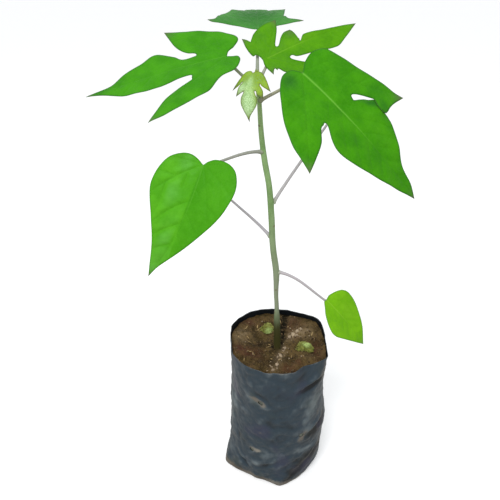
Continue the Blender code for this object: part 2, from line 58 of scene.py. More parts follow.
BAG_HEIGHT = 0.1715
BAG_RADIUS = 0.0500                       # about how far the film stands from the middle, all the way up
BAG_FOOT_ROUND = (0.0025, 0.0045)         # the foot's edge is rounded: how far in, how high
BAG_FOOT_MIDDLE = (0.0, 0.0010)
BAG_SHIFT = (0.0074, 0.0055)
BAG_BELLY = 0.0020
RIM_RISE = 0.0015
RIM_WAVE = 0.0007
RIM_FRILL = 0.0004
RIM_LOOSE = 0.0010                        # the empty collar above the soil flutters this much
FLUTTER_FROM = 0.158                      # it flutters from this height,
COLLAR_FROM = 0.160                       # and its edge rises and waves from this one
FILM = 0.0004
FOOT_CALM = 0.004                         # the film is plain at its foot, up to this height
LIP, LIP_PLACE, LIP_WIDTH = 0.55, 1.9, 0.9        # a crease's raised lip, by its depth and half-width
FACETS, FACET_RATE = 0.0008, 5.2          # ridges between the film's flat facets: how high, how close
SOIL_PRESS, PRESS_RATES = 0.00065, (6.0, 13.0)    # lumps of soil press it out: how far, how close
FILM_TURNS = 216
FILM_LEVELS = 128
UNDERSIDE_STEPS = (0.94, 0.85, 0.72, 0.56, 0.38, 0.18)
SMALL_CREASES = 46

# The film's shape by height: how far it stands from the bag's middle line, in millimetres, at each
# direction in degrees. The foot keeps the flat bag's corners and the walls bulge with soil.
Ring = namedtuple("Ring", "z reaches")
BAG_RINGS = (
    Ring(0.0, ((-172, 51.2), (-160, 45.0), (-146, 38.9), (-131, 34.9), (-118, 34.8), (-98, 34.8),
               (-86, 38.2), (-75, 43.2), (-67, 43.2), (-51, 43.5), (-39, 44.8), (-27, 46.4),
               (-12, 49.8), (5, 49.6), (30, 47.5), (55, 45.0), (80, 43.0), (105, 42.5), (130, 42.5),
               (155, 43.5), (173, 47.5))),
    Ring(14.0, ((-173, 50.4), (-157, 46.2), (-135, 39.6), (-112, 38.2), (-90, 39.6), (-72, 43.0),
                (-50, 45.0), (-30, 48.4), (-8, 53.9), (20, 52.0), (45, 49.5), (70, 46.5), (95, 45.0),
                (120, 45.0), (145, 45.8), (167, 48.0))),
    Ring(35.0, ((-177, 50.4), (-155, 48.2), (-135, 45.0), (-112, 43.8), (-90, 44.0), (-67, 46.0),
                (-45, 48.5), (-25, 51.0), (-10, 51.4), (20, 50.6), (45, 50.0), (70, 48.5), (95, 48.0),
                (120, 48.0), (145, 49.0), (165, 49.6))),
    Ring(57.0, ((-177, 52.0), (-150, 49.4), (-120, 46.6), (-90, 46.4), (-60, 48.4), (-35, 50.8),
                (-11, 51.0), (15, 50.6), (45, 50.3), (75, 49.6), (105, 49.2), (135, 49.6), (160, 50.4))),
    Ring(73.0, ((-177, 51.1), (-150, 49.0), (-120, 47.8), (-90, 47.6), (-60, 49.2), (-35, 51.2),
                (-11, 52.4), (15, 51.2), (45, 50.5), (75, 50.5), (105, 50.0), (135, 50.0), (160, 50.0))),
    Ring(100.0, ((-177, 51.4), (-150, 49.2), (-120, 48.4), (-90, 48.3), (-60, 49.6), (-38, 50.2),
                 (-12, 48.8), (15, 49.5), (45, 50.5), (75, 50.0), (105, 50.0), (135, 50.2), (160, 50.5))),
    Ring(125.0, ((-177, 49.6), (-150, 49.3), (-120, 49.0), (-90, 48.6), (-60, 49.4), (-35, 49.6),
                 (-12, 47.8), (15, 48.8), (45, 50.8), (75, 50.0), (105, 50.2), (135, 50.4), (160, 50.2))),
    Ring(148.0, ((-177, 48.8), (-150, 50.0), (-120, 50.4), (-90, 49.2), (-60, 48.4), (-35, 51.6),
                 (-12, 49.6), (15, 50.0), (40, 53.0), (70, 50.0), (105, 51.0), (135, 51.2), (160, 50.6))),
    Ring(171.5, ((-177, 48.4), (-155, 50.3), (-135, 51.0), (-115, 51.4), (-95, 49.4), (-75, 49.6),
                 (-57, 46.8), (-41, 50.6), (-30, 53.6), (-15, 50.4), (3, 48.8), (20, 51.0), (37, 55.0),
                 (52, 52.0), (70, 49.6), (90, 49.8), (108, 51.8), (120, 52.4), (135, 51.6), (150, 52.6),
                 (166, 50.2))),
)

# Creases pressed into the film: middle, slope from level, length, depth and half-width. They and the
# marks below are told in degrees and metres.
Crease = namedtuple("Crease", "turn z slope length depth width")
CREASES = [
    Crease(-55, 0.1422, 17, 0.036, 0.0018, 0.0032),      # a deep pinch high on the right
    Crease(-43, 0.1460, 12, 0.020, 0.0013, 0.0028),
    Crease(-40, 0.0800, 22, 0.036, 0.0014, 0.0036),      # the fold under the bulge on the right
    Crease(-44, 0.0300, 48, 0.052, 0.0012, 0.0044),      # the gusset's fold running to the foot
    Crease(-72, 0.0330, 40, 0.036, 0.0006, 0.0030),
    Crease(-20, 0.0300, 66, 0.050, 0.0008, 0.0030),
    Crease(-118, 0.1380, -30, 0.034, 0.0006, 0.0026),
    Crease(-96, 0.1180, -62, 0.040, 0.0005, 0.0030),
    Crease(-108, 0.0960, 54, 0.040, 0.0005, 0.0030),
    Crease(-142, 0.0250, -40, 0.034, 0.0010, 0.0028),
    Crease(-150, 0.0600, -76, 0.060, 0.0006, 0.0026),
    Crease(-104, 0.0300, 24, 0.046, 0.0006, 0.0028),
    Crease(-86, 0.0700, -48, 0.032, 0.0005, 0.0026),
]

# A mark on the film: place, slope, half-length, half-width, strength.
Smear = namedtuple("Smear", "turn z slope length width strength", defaults=(0, 0, 0, 0))
# The drain holes, each punched through both faces of the flat bag.
DRAIN_HOLES = [Smear(side * turn, z) for turn, z in ((-113.9, 0.1264), (-62.0, 0.0788), (-127.1, 0.0502))
               for side in (1, -1)]
DRAIN_RADIUS = 0.0026
HOLE_SNAP = 0.00085                       # film this near a hole's edge is drawn onto it

# Dry soil rubbed into the film; watering has splashed most of it on towards this side.
SPLASH_SIDE = -140
SMEARS = [Smear(*row) for row in (
    (-125, 0.1298, 0, 0.0080, 0.0022, 0.62), (-112, 0.1250, -24, 0.0046, 0.0034, 1.00),
    (-118, 0.1296, -30, 0.0056, 0.0030, 0.42), (-61, 0.0770, 62, 0.0085, 0.0042, 0.72),
    (-124, 0.0525, -8, 0.0090, 0.0038, 0.52), (-118, 0.0520, 0, 0.0030, 0.0022, 0.45),
    (-115, 0.0825, 20, 0.0032, 0.0022, 0.30), (-36, 0.1010, 30, 0.0090, 0.0060, 0.28),
    (60, 0.0850, 30, 0.0140, 0.0060, 0.50), (130, 0.0600, -30, 0.0160, 0.0060, 0.50),
    (170, 0.1150, 50, 0.0120, 0.0050, 0.40), (20, 0.0450, -40, 0.0130, 0.0060, 0.45),
)]
# Where the film is painted paler as highlight, partly milky from stretching, or (below zero) near black as
# painted shade in an undercut.
SHEEN_AND_SHADE_MARKS = [Smear(*row) for row in (
    (-46, 0.1170, 70, 0.0200, 0.0110, 0.36), (-53, 0.0545, 7, 0.0240, 0.0046, 0.34),
    (-156, 0.1200, 88, 0.0380, 0.0042, 0.27), (-168, 0.0900, 88, 0.0500, 0.0036, 0.22),
    (-136, 0.1200, 80, 0.0300, 0.0050, 0.14), (-126, 0.0300, 10, 0.0200, 0.0080, 0.22),
    (-88, 0.0560, 30, 0.0160, 0.0090, 0.14), (-12, 0.0700, 86, 0.0600, 0.0050, 0.26),
    (-47, 0.1450, 15, 0.0150, 0.0044, -0.55), (-67, 0.1585, 0, 0.0070, 0.0040, -0.24),
    (-34, 0.0790, 28, 0.0150, 0.0075, -0.62), (-58, 0.0710, 34, 0.0120, 0.0046, -0.30),
    (-57, 0.1020, 70, 0.0120, 0.0080, 0.16), (-41, 0.0325, 48, 0.0250, 0.0110, -0.78),
    (-50, 0.0290, 52, 0.0230, 0.0110, -0.42), (-60, 0.0760, 60, 0.0120, 0.0070, 0.30),
    (-118, 0.1262, -25, 0.0110, 0.0062, 0.40), (-30, 0.1560, 30, 0.0100, 0.0090, -0.28),
    (-128, 0.1010, 80, 0.0200, 0.0080, 0.14), (-84, 0.1360, -20, 0.0130, 0.0080, -0.16),
    (-100, 0.1100, 90, 0.0300, 0.0160, -0.06), (-112, 0.0800, 86, 0.0420, 0.0120, 0.07),
    (-152, 0.0340, 85, 0.0200, 0.0080, 0.16), (-142, 0.0700, 90, 0.0300, 0.0080, -0.14),
    (90, 0.0900, 80, 0.0500, 0.0100, 0.30), (50, 0.0600, 70, 0.0300, 0.0080, -0.30),
    (140, 0.1000, 75, 0.0400, 0.0080, 0.26),
)]


def ease(low, high, value):
    """0 below low, 1 above high, with an easy S between them."""
    share = np.clip((value - low) / (high - low), 0.0, 1.0)
    return share * share * (3 - 2 * share)


def bag_middle(z):
    """The bag's middle line leans over its foot, bellies out and rises to the rim."""
    lean = ease(-0.010, 0.055, z)
    x = BAG_FOOT_MIDDLE[0] + BAG_SHIFT[0] * lean + BAG_BELLY * np.sin(pi * z / BAG_HEIGHT)
    return x, BAG_FOOT_MIDDLE[1] + BAG_SHIFT[1] * lean


def cubic(low, high, rise_low, rise_high, t):
    """From one value to the next, leaving and arriving with the given rises."""
    return (low * (2 * t ** 3 - 3 * t ** 2 + 1) + rise_low * (t ** 3 - 2 * t ** 2 + t)
            + high * (3 * t ** 2 - 2 * t ** 3) + rise_high * (t ** 3 - t ** 2))


def smooth_curve(knots, values, at):
    """A smooth curve through the knots, read at many places; each place may have its own values."""
    k = np.clip(np.searchsorted(knots, at, side="right") - 1, 0, len(knots) - 2)
    if values.ndim == 1:
        slopes = np.gradient(values, knots)
        low, high, slope_low, slope_high = values[k], values[k + 1], slopes[k], slopes[k + 1]
    else:
        slopes, own = np.gradient(values, knots, axis=0), np.arange(len(at))
        low, high, slope_low, slope_high = (table[row, own] for table, row in
                                            ((values, k), (values, k + 1), (slopes, k), (slopes, k + 1)))
    span = knots[k + 1] - knots[k]
    return cubic(low, high, slope_low * span, slope_high * span, (at - knots[k]) / span)


def bag_reach(turn, z):
    """From the middle line to the film, in metres, for arrays of direction and height."""
    turn, z = np.broadcast_arrays(turn, z)
    around = (np.degrees(turn.ravel()) + 180) % 360 - 180
    levels = []
    for ring in BAG_RINGS:
        turns, reaches = np.array(ring.reaches).T
        thrice = np.concatenate([turns - 360, turns, turns + 360])
        levels.append(smooth_curve(thrice, np.tile(reaches, 3), around))
    heights = np.array([ring.z for ring in BAG_RINGS])
    reach = smooth_curve(heights, np.array(levels), z.ravel() / MM).reshape(z.shape) * MM
    across, up = BAG_FOOT_ROUND
    round_share = 1 - np.clip(z / up, 0.0, 1.0)
    return reach - across * (1 - np.sqrt(1 - round_share ** 2))


def on_film(mark, turn, z):
    """How far along and across a crease or smear the film's points are, in metres."""
    around = (turn - radians(mark.turn) + pi) % (2 * pi) - pi
    along_film = around * BAG_RADIUS
    slope = radians(mark.slope)
    along = along_film * cos(slope) + (z - mark.z) * sin(slope)
    across = (z - mark.z) * cos(slope) - along_film * sin(slope)
    return along, across


def film_creases():
    """The named creases, and many small ones where the film was handled and filled."""
    dice = np.random.default_rng(11)
    creases = list(CREASES)
    for _ in range(SMALL_CREASES):
        low = dice.random() < 0.45
        z = dice.uniform(0.006, 0.05) if low else dice.uniform(0.03, 0.165)
        steep = dice.uniform(35, 80) if low else dice.uniform(15, 75)
        creases.append(Crease(dice.uniform(-180, 180), z, steep * dice.choice((-1, 1)),
                              dice.uniform(0.014, 0.040), dice.uniform(0.0002, 0.0005),
                              dice.uniform(0.0020, 0.0040)))
    return creases


def film_relief(turn, z):
    """Creases with a raised lip, lumps of soil pressing through, and a loose collar at the rim."""
    relief = np.zeros_like(turn)
    for crease in film_creases():
        along, across = on_film(crease, turn, z)
        run = np.clip(1 - (2 * along / crease.length) ** 2, 0.0, 1.0)
        valley = np.exp(-(across / crease.width) ** 2)
        lip = np.exp(-((across - LIP_PLACE * crease.width) / (LIP_WIDTH * crease.width)) ** 2)
        relief += crease.depth * run * (LIP * lip - valley)
    for i in np.ndindex(turn.shape):
        out = cos(turn[i]), sin(turn[i])
        spot = Vector((*out, z[i] / BAG_RADIUS))
        far = noise.voronoi(spot * FACET_RATE, distance_metric="DISTANCE")[0]
        lumps = noise.noise(spot * PRESS_RATES[0]) + 0.5 * noise.noise(spot * PRESS_RATES[1])
        relief[i] += SOIL_PRESS * lumps + FACETS * (min(0.35, far[1] - far[0]) - 0.2)
        collar = max(0.0, (z[i] - FLUTTER_FROM) / (BAG_HEIGHT - FLUTTER_FROM))
        relief[i] += RIM_LOOSE * collar * noise.noise(Vector((*out, 0.3)) * 4.5)
    return relief


def film_points(turn, z, inset=0.0):
    """Points of the film for matching arrays of direction and height."""
    x, y = bag_middle(z)
    calm = ease(0.0, FOOT_CALM, z)
    reach = bag_reach(turn, z) + film_relief(turn, z) * calm - inset
    lift = RIM_RISE * np.sin(turn) + RIM_WAVE * (np.sin(3 * turn + 0.6) + 0.6 * np.sin(5 * turn))
    lift = lift + RIM_FRILL * np.sin(17 * turn + 1.0) * np.sin(4 * turn)
    collar = np.clip((z - COLLAR_FROM) / (BAG_HEIGHT - COLLAR_FROM), 0.0, 1.0)
    return np.stack([x + reach * np.cos(turn), y + reach * np.sin(turn), z + lift * collar], -1)


def new_piece(name, mesh, *mats):
    """Put a mesh in the scene as a piece that rides with the plant."""
    for mat in mats:
        mesh.materials.append(mat)
    piece = bpy.data.objects.new(name, mesh)
    bpy.context.scene.collection.objects.link(piece)
    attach(piece, "root")
    return piece


def smooth_mesh(name, points, faces, **values):
    """A smooth mesh that keeps a number or vector of each kind for each vertex, for its finish to read."""
    mesh = bpy.data.meshes.new(name)
    mesh.from_pydata(points, [], faces)
    mesh.shade_smooth()
    for label, rows in values.items():
        kind, field = ("FLOAT", "value") if np.ndim(rows) == 1 else ("FLOAT_VECTOR", "vector")
        layer = mesh.attributes.new(label, kind, "POINT")
        layer.data.foreach_set(field, np.asarray(rows, np.float32).ravel())
    return mesh


def tube_faces(start, rings, sides):
    """The faces of a tube whose points lie ring by ring, closed at both ends."""
    faces = [(low + i, low + (i + 1) % sides, low + sides + (i + 1) % sides, low + sides + i)
             for low in range(start, start + (rings - 1) * sides, sides) for i in range(sides)]
    last = start + (rings - 1) * sides
    return faces + [tuple(reversed(range(start, start + sides))), tuple(range(last, last + sides))]


def with_marks(amount, marks, turn, z):
    """An amount over the film, with each mark's own strength added where it lies."""
    for mark in marks:
        along, across = on_film(mark, turn, z)
        amount = amount + mark.strength * np.exp(-(along / mark.length) ** 2 - (across / mark.width) ** 2)
    return amount


def film_dust(turn, z):
    """Where dry soil clings: the foot, the rim's edge, the smears and round the drain holes."""
    splashed = 0.55 + 0.45 * np.cos(turn - radians(SPLASH_SIDE))
    dust = splashed * (0.62 * (1 - ease(0.003, 0.011, z)) + 0.22 * (1 - ease(0.004, 0.04, z)))
    return np.clip(with_marks(dust + 0.30 * ease(0.1675, BAG_HEIGHT, z), SMEARS, turn, z), 0.0, 1.0)


def film_bloom(turn, z):
    """How pale the film is painted: painted highlight along the folds' lips and at the marks, painted shade
    down in the valleys and undercuts.
    """
    return 0.5 + with_marks(np.clip(film_relief(turn, z) * 260, -0.36, 0.16), SHEEN_AND_SHADE_MARKS, turn, z)


def film_mesh():
    """The film as one skin, from rim to foot and across the underside, with its holes punched."""
    # More levels near the foot, where the film turns under.
    share = np.linspace(0.0, 1.0, FILM_LEVELS)
    levels = BAG_HEIGHT * (0.25 * share ** 2 + 0.75 * share)
    turns = -pi + 2 * pi * np.arange(FILM_TURNS) / FILM_TURNS
    z, turn = np.meshgrid(levels, turns, indexing="ij")
    points = film_points(turn, z)
    holes = np.full(z.shape, False)
    for hole in DRAIN_HOLES:
        along, across = on_film(hole, turn, z)
        away = np.hypot(along, across)
        rim = np.abs(away - DRAIN_RADIUS) < HOLE_SNAP
        pull = np.where(rim, DRAIN_RADIUS / np.maximum(away, 1e-6), 1.0)
        snapped_turn, snapped_z = turn + along * (pull - 1) / BAG_RADIUS, z + across * (pull - 1)
        points[rim] = film_points(snapped_turn[rim], snapped_z[rim])
        holes |= (away < DRAIN_RADIUS) & ~rim
    punched = holes.ravel()
    faces = [face for face in tube_faces(0, FILM_LEVELS, FILM_TURNS)[:-2] if not punched[list(face)].any()]
    # The underside shrinks ring by ring to its middle, flat on the ground.
    wall = points.reshape(-1, 3)
    foot, middle = wall[:FILM_TURNS], np.array([*BAG_FOOT_MIDDLE, 0.0])
    beneath = [middle + (foot - middle) * step for step in UNDERSIDE_STEPS]
    points = np.vstack([wall, *beneath, middle[None]])
    inner = range(FILM_TURNS)
    for n in range(len(UNDERSIDE_STEPS)):
        outer, inner = inner, range(len(wall) + n * FILM_TURNS, len(wall) + (n + 1) * FILM_TURNS)
        faces += [(outer[j - FILM_TURNS + 1], outer[j], inner[j], inner[j - FILM_TURNS + 1])
                  for j in range(FILM_TURNS)]
    faces += [(inner[j - FILM_TURNS + 1], inner[j], len(points) - 1) for j in range(FILM_TURNS)]
    underside = np.ones(len(points) - len(wall))
    mesh = smooth_mesh("bag_film", points.tolist(), faces,
                       dust=np.concatenate([film_dust(turn, z).ravel(), 0.8 * underside]),
                       bloom=np.concatenate([film_bloom(turn, z).ravel(), 0.4 * underside]))
    loose = bmesh.new()
    loose.from_mesh(mesh)
    bmesh.ops.delete(loose, geom=[v for v in loose.verts if not v.link_faces], context="VERTS")
    loose.to_mesh(mesh)
    loose.free()
    return mesh


def paint(red, green, blue):
    """A colour told in 0 to 255 screen values, as the shader's linear one."""
    parts = [c / 255 for c in (red, green, blue)]
    return (*[c / 12.92 if c <= 0.04045 else ((c + 0.055) / 1.055) ** 2.4 for c in parts], 1.0)


def add_node(tree, kind, sockets=None, **settings):
    """A node with its settings, and its sockets set or linked by name or number."""
    node = tree.nodes.new(kind)
    for name, value in settings.items():
        setattr(node, name, value)
    for key, value in (sockets or {}).items():
        if isinstance(value, bpy.types.NodeSocket):
            tree.links.new(value, node.inputs[key])
        else:
            node.inputs[key].default_value = value
    return node


def mixed(tree, share, low, high):
    """The colour between two, each of them another node's or told in screen values."""
    low, high = (paint(*shade) if isinstance(shade, tuple) else shade for shade in (low, high))
    return add_node(tree, "ShaderNodeMix", {0: share, 6: low, 7: high}, data_type="RGBA").outputs[2]


def coated(tree, colour, *coats):
    """A colour with others laid over it in turn, each coat told as its share and its colour."""
    for share, shade in coats:
        colour = mixed(tree, share, colour, shade)
    return colour


def worked_out(tree, operation, first, second, clamp=False):
    """One step of arithmetic."""
    node = add_node(tree, "ShaderNodeMath", {0: first, 1: second}, operation=operation, use_clamp=clamp)
    return node.outputs[0]


def times(tree, first, second, clamp=False):
    """One value times another."""
    return worked_out(tree, "MULTIPLY", first, second, clamp)


def plus(tree, first, second, clamp=False):
    """One value and another together."""
    return worked_out(tree, "ADD", first, second, clamp)


def graded(tree, value, low, high, to_low=0.0, to_high=1.0):
    """A value spread smoothly from one range to another."""
    node = add_node(tree, "ShaderNodeMapRange", {"Value": value, "From Min": low, "From Max": high,
                                                "To Min": to_low, "To Max": to_high},
                    interpolation_type="SMOOTHSTEP")
    return node.outputs["Result"]


def stored(tree, name):
    """A number kept on the mesh."""
    return add_node(tree, "ShaderNodeAttribute", attribute_name=name).outputs["Fac"]


def in_place(tree, stretch=(1.0, 1.0, 1.0)):
    """The plant's own coordinates, in metres, stretched along each axis."""
    place = add_node(tree, "ShaderNodeTexCoord").outputs["Object"]
    return add_node(tree, "ShaderNodeMapping", {"Vector": place, "Scale": stretch}).outputs[0]


def speckled(tree, place, scale, detail, roughness=0.5):
    """Smooth noise from 0 to 1, with this many bumps to the metre."""
    return add_node(tree, "ShaderNodeTexNoise", {"Vector": place, "Scale": scale, "Detail": detail,
                                                "Roughness": roughness}).outputs["Fac"]


def clouds(tree, place, size, detail=3.0, roughness=0.55):
    """Soft irregular patches of about this size, from 0 to 1."""
    return speckled(tree, place, 1 / size, detail, roughness)


def new_group(name, inputs, outputs):
    """A shared effect with named sockets: (name, type, value) for each input, a name for each output."""
    group = bpy.data.node_groups.new(name, "ShaderNodeTree")
    for label, kind, value in inputs:
        socket = group.interface.new_socket(label, in_out="INPUT", socket_type=kind)
        if kind == "NodeSocketFloat":
            socket.default_value = value
    for label in outputs:
        group.interface.new_socket(label, in_out="OUTPUT", socket_type="NodeSocketFloat")
    return group, group.nodes.new("NodeGroupInput"), group.nodes.new("NodeGroupOutput")


def placed_group(tree, group, sockets):
    """A shared effect set into a finish with its own values."""
    return add_node(tree, "ShaderNodeGroup", sockets, node_tree=group).outputs


def dry_dust_group():
    """Dry soil that clings in specks and films: where it lies, and how it stands up."""
    group, given, result = new_group("dry_dust", [("Place", "NodeSocketVector", None),
                                                 ("Amount", "NodeSocketFloat", 0.5),
                                                 ("Speck", "NodeSocketFloat", 0.0016)],
                                     ["Mask", "Height"])
    scale = worked_out(group, "DIVIDE", 1.0, given.outputs["Speck"])
    specks = speckled(group, given.outputs["Place"], scale, 4.0, 0.65)
    drifts = speckled(group, given.outputs["Place"], times(group, scale, 0.16), 3.0)
    cover = plus(group, times(group, specks, 0.55), times(group, drifts, 0.75))
    mask = graded(group, plus(group, cover, given.outputs["Amount"]), 0.80, 1.30)
    group.links.new(mask, result.inputs["Mask"])
    group.links.new(times(group, specks, mask), result.inputs["Height"])
    return group


def patches_group():
    """Slow uneven change of tone over a surface, with a finer grain inside it."""
    group, given, result = new_group("tone_patches", [("Place", "NodeSocketVector", None),
                                                     ("Size", "NodeSocketFloat", 0.02),
                                                     ("Grain", "NodeSocketFloat", 0.3)], ["Tone"])
    scale = worked_out(group, "DIVIDE", 1.0, given.outputs["Size"])
    broad = speckled(group, given.outputs["Place"], scale, 2.0)
    fine = speckled(group, given.outputs["Place"], times(group, scale, 7.0), 3.0)
    fine = times(group, worked_out(group, "SUBTRACT", fine, 0.5), given.outputs["Grain"])
    group.links.new(graded(group, plus(group, broad, fine), 0.30, 0.70), result.inputs["Tone"])
    return group


DRY_DUST = dry_dust_group()
TONE_PATCHES = patches_group()


def tone_patches(tree, place, size, grain):
    """The slow change of tone, from 0 to 1, in patches of about this size."""
    return placed_group(tree, TONE_PATCHES, {"Place": place, "Size": size, "Grain": grain})["Tone"]


def new_finish(name, roughness, specular):
    """A material with its node tree and shader, its constant values set on the shader."""
    mat = bpy.data.materials.new(name)
    mat.use_nodes = True
    shader = mat.node_tree.nodes["Principled BSDF"]
    shader.inputs["Roughness"].default_value = roughness
    shader.inputs["Specular IOR Level"].default_value = specular
    return mat, mat.node_tree, shader


def dress(tree, shader, colour, height, strength, distance, roughness=None):
    """Give a finish its colour and fine relief, and its roughness where that varies."""
    tree.links.new(colour, shader.inputs["Base Color"])
    bump = add_node(tree, "ShaderNodeBump", {"Strength": strength, "Distance": distance, "Height": height})
    tree.links.new(bump.outputs["Normal"], shader.inputs["Normal"])
    if roughness:
        tree.links.new(roughness, shader.inputs["Roughness"])


def film_finish():
    """Black polythene that shows slate-grey in soft light, with painted highlights where it is lit and milky
    from stretching, painted shade in its creases and undercuts, and dry dust.
    """
    mat, tree, shader = new_finish("black_polythene", 0.4, 0.34)
    place = in_place(tree)
    tone = graded(tree, clouds(tree, place, 0.026, 1.0), 0.25, 0.75)
    hue = clouds(tree, in_place(tree, (1.0, 1.0, 0.7)), 0.030, 1.0)
    level = plus(tree, stored(tree, "bloom"), graded(tree, tone, 0.0, 1.0, -0.10, 0.07))
    # Painted highlight and shade: creases catch the light as soft crackle that comes and goes, in the colour
    # as well as the bump.
    crackle = clouds(tree, in_place(tree, (1.0, 1.0, 0.55)), 0.0045, 4.0)
    level = plus(tree, level, graded(tree, crackle, 0.25, 0.75, -0.035, 0.035))
    dust = placed_group(tree, DRY_DUST, {"Place": place, "Amount": stored(tree, "dust"), "Speck": 0.0014})
    # The body runs from painted shade near black, through slate, to painted highlight in pale grey.
    colour = coated(tree, mixed(tree, graded(tree, level, 0.0, 0.5), (13, 19, 23), (42, 57, 68)),
                    (graded(tree, level, 0.5, 1.0), (106, 117, 122)),
                    (graded(tree, hue, 0.58, 0.74, 0.0, 0.6), (50, 52, 76)),
                    (graded(tree, hue, 0.42, 0.28, 0.0, 0.5), (48, 62, 58)),
                    (times(tree, dust["Mask"], 0.74), mixed(tree, tone, (96, 86, 74), (150, 143, 130))))
    matt = graded(tree, tone, 0.0, 1.0, 0.30, 0.44)
    matt = plus(tree, matt, times(tree, dust["Mask"], 0.40), clamp=True)
    height = plus(tree, times(tree, crackle, 0.9), times(tree, dust["Height"], 0.35))
    dress(tree, shader, colour, height, 0.5, 0.0009, matt)
    return mat


def shaded_lining_finish():
    """The film's inside, black and clean of dust above the soil, and painted darker than the outside as
    shade.
    """
    mat, tree, shader = new_finish("shaded_black_lining", 0.45, 0.15)
    place = in_place(tree)
    colour = mixed(tree, clouds(tree, place, 0.006), (9, 12, 15), (26, 30, 34))
    dress(tree, shader, colour, clouds(tree, place, 0.004), 0.4, 0.0006)
    return mat


bag_film = new_piece("bag_film", film_mesh(), film_finish(), shaded_lining_finish())
thickness = bag_film.modifiers.new("film", "SOLIDIFY")
thickness.thickness = FILM
thickness.offset = -1.0
thickness.material_offset = 1
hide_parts("grow_bag")


# ========================================================================================
# Potting mix
# Moist reddish-brown soil with sand, small stones and bits of dry husk. It is tamped level
# 8 mm below the rim, cracked into clods, and bare but for two low green cushions of moss.
# ========================================================================================

SOIL_LEVEL = 0.164
SOIL_LUMPS, SOIL_LUMP_RATE = 0.0030, 90.0         # how high, and how many to the metre
SOIL_GRAIN = ((0.0006, 420), (0.0004, 1100))      # the same for its fine crumbs
SOIL_CALM = (0.008, 0.018)                # pressed flat within the first distance of the stem
SOIL_BANK = 0.0026                        # it was filled from the front, so it banks against the back wall
BANK_MIDDLE = (0.009, 0.006)
BANK_OUT, BANK_BACK = (0.026, 0.046), (-0.030, 0.014)     # where it rises, outwards and backwards
ROOT_MOUND, MOUND_REACH = 0.0012, (0.0035, 0.0075)
SOIL_SPACING = 0.0008
SOIL_WALL_GAP = 0.0009                    # from the film's outer face to the soil at its top
SOIL_SIDE_GAP = 0.0026                    # and lower down, where creases press in
SOIL_BULGE = (0.0023, 0.0045)             # it fills the drain holes: how far out, over what reach
SOIL_SIDES = 180
SOIL_RINGS = (SOIL_LEVEL, 0.158, 0.150, 0.1404, 0.1304, 0.1225, 0.115, 0.105, 0.095, 0.085, 0.079,
              0.072, 0.062, 0.052, 0.046, 0.035, 0.024, 0.014, 0.007, 0.002)
SOIL_MIDDLE = bag_middle(SOIL_LEVEL)
STEM_FOOT = Vector((0.0064, 0.0))
STEM_CLEAR = 0.0045                       # no crumb lies nearer the stem's middle
CLODS, CLOD_REACH = 300, 0.048
CLOD_LEAST, CLOD_MORE = 0.0012, 0.0040    # a clod's least radius, and how much more the largest has
CLOD_CROWN = (0.25, 0.60)                 # how high it stands, as a share of its radius
CLOD_WARP, CLOD_WARP_RATE = 0.0009, 700   # how far it is out of round, and how often to the metre
CRUMBS, CRUMB_REACH = 620, 0.0465
HUSKS, HUSK_REACH = 30, 0.043
HUSK_RINGS, HUSK_SIDES = 7, 6
HUSK_LENGTHS, HUSK_WIDTHS = (0.0022, 0.0062), (0.00025, 0.0006)
HUSK_LIFT, HUSK_BOW, HUSK_TILT, HUSK_FLATNESS = 0.0003, 0.0004, 0.12, 0.4
STONE_FLATNESS, CRUMB_FLATNESS = 0.62, 0.80
LUMP_NARROWNESS = 0.72                    # stones and crumbs are a little longer than wide
LUMP_DENTS = ((0.34, 1.1), (0.16, 2.9))   # how deep, and how close together

# Stones that lie on the soil: place, size and how dark they are.
Stone = namedtuple("Stone", "x y size tone")
STONES = [Stone(*row) for row in (
    (20.2, 17.2, 4.4, 0.62), (24.2, 20.4, 5.4, 0.80), (28.6, 24.0, 5.0, 0.72), (32.6, 27.4, 3.8, 0.60),
    (27.4, 18.2, 3.0, 0.66), (14.6, 0.8, 3.8, 0.52), (12.2, -3.6, 2.2, 0.46), (9.4, -11.2, 4.2, 0.56),
    (5.2, -24.8, 4.4, 0.58), (7.4, -18.4, 1.8, 0.44), (1.0, -32.0, 3.8, 0.50), (-18.0, -8.0, 1.9, 0.45),
    (-26.0, 8.0, 1.7, 0.40), (30.0, -14.0, 1.8, 0.50), (22.0, 33.0, 2.0, 0.55), (-8.0, 41.0, 1.8, 0.50),
    (41.0, 20.0, 1.6, 0.55),
)]


def clod_table():
    """Where the clods lie: x, y, radius and height, in metres, thrown evenly over the soil."""
    dice = np.random.default_rng(5)
    turn = dice.uniform(-pi, pi, CLODS)
    away = CLOD_REACH * np.sqrt(dice.random(CLODS))
    radius = CLOD_LEAST + CLOD_MORE * dice.random(CLODS) ** 2.2
    return np.stack([SOIL_MIDDLE[0] + away * np.cos(turn), SOIL_MIDDLE[1] + away * np.sin(turn),
                     radius, radius * dice.uniform(*CLOD_CROWN, CLODS)], -1)


CLOD_TABLE = clod_table()


def soil_height(x, y):
    """The soil's surface: gentle lumps, clods half sunk in them, and fine crumbs."""
    spot = Vector((x, y, 0.03))
    from_stem = (spot.xy - STEM_FOOT).length
    calm = float(ease(*SOIL_CALM, from_stem))
    height = SOIL_LEVEL + SOIL_LUMPS * calm * noise.noise(spot * SOIL_LUMP_RATE)
    warp = CLOD_WARP * noise.noise(spot * CLOD_WARP_RATE)
    away = np.hypot(CLOD_TABLE[:, 0] - x + warp, CLOD_TABLE[:, 1] - y - warp) / CLOD_TABLE[:, 2]
    crown = CLOD_TABLE[:, 3] * np.sqrt(np.clip(1 - away ** 2, 0.0, 1.0))
    rough = 0.4 + 0.6 * calm
    height += rough * float(crown.max())
    height += sum(size * rough * noise.noise(spot * rate) for size, rate in SOIL_GRAIN)
    height += ROOT_MOUND * float(1 - ease(*MOUND_REACH, from_stem))
    from_middle = sqrt((x - BANK_MIDDLE[0]) ** 2 + (y - BANK_MIDDLE[1]) ** 2)
    height += SOIL_BANK * float(ease(*BANK_OUT, from_middle) * ease(*BANK_BACK, y))
    return height


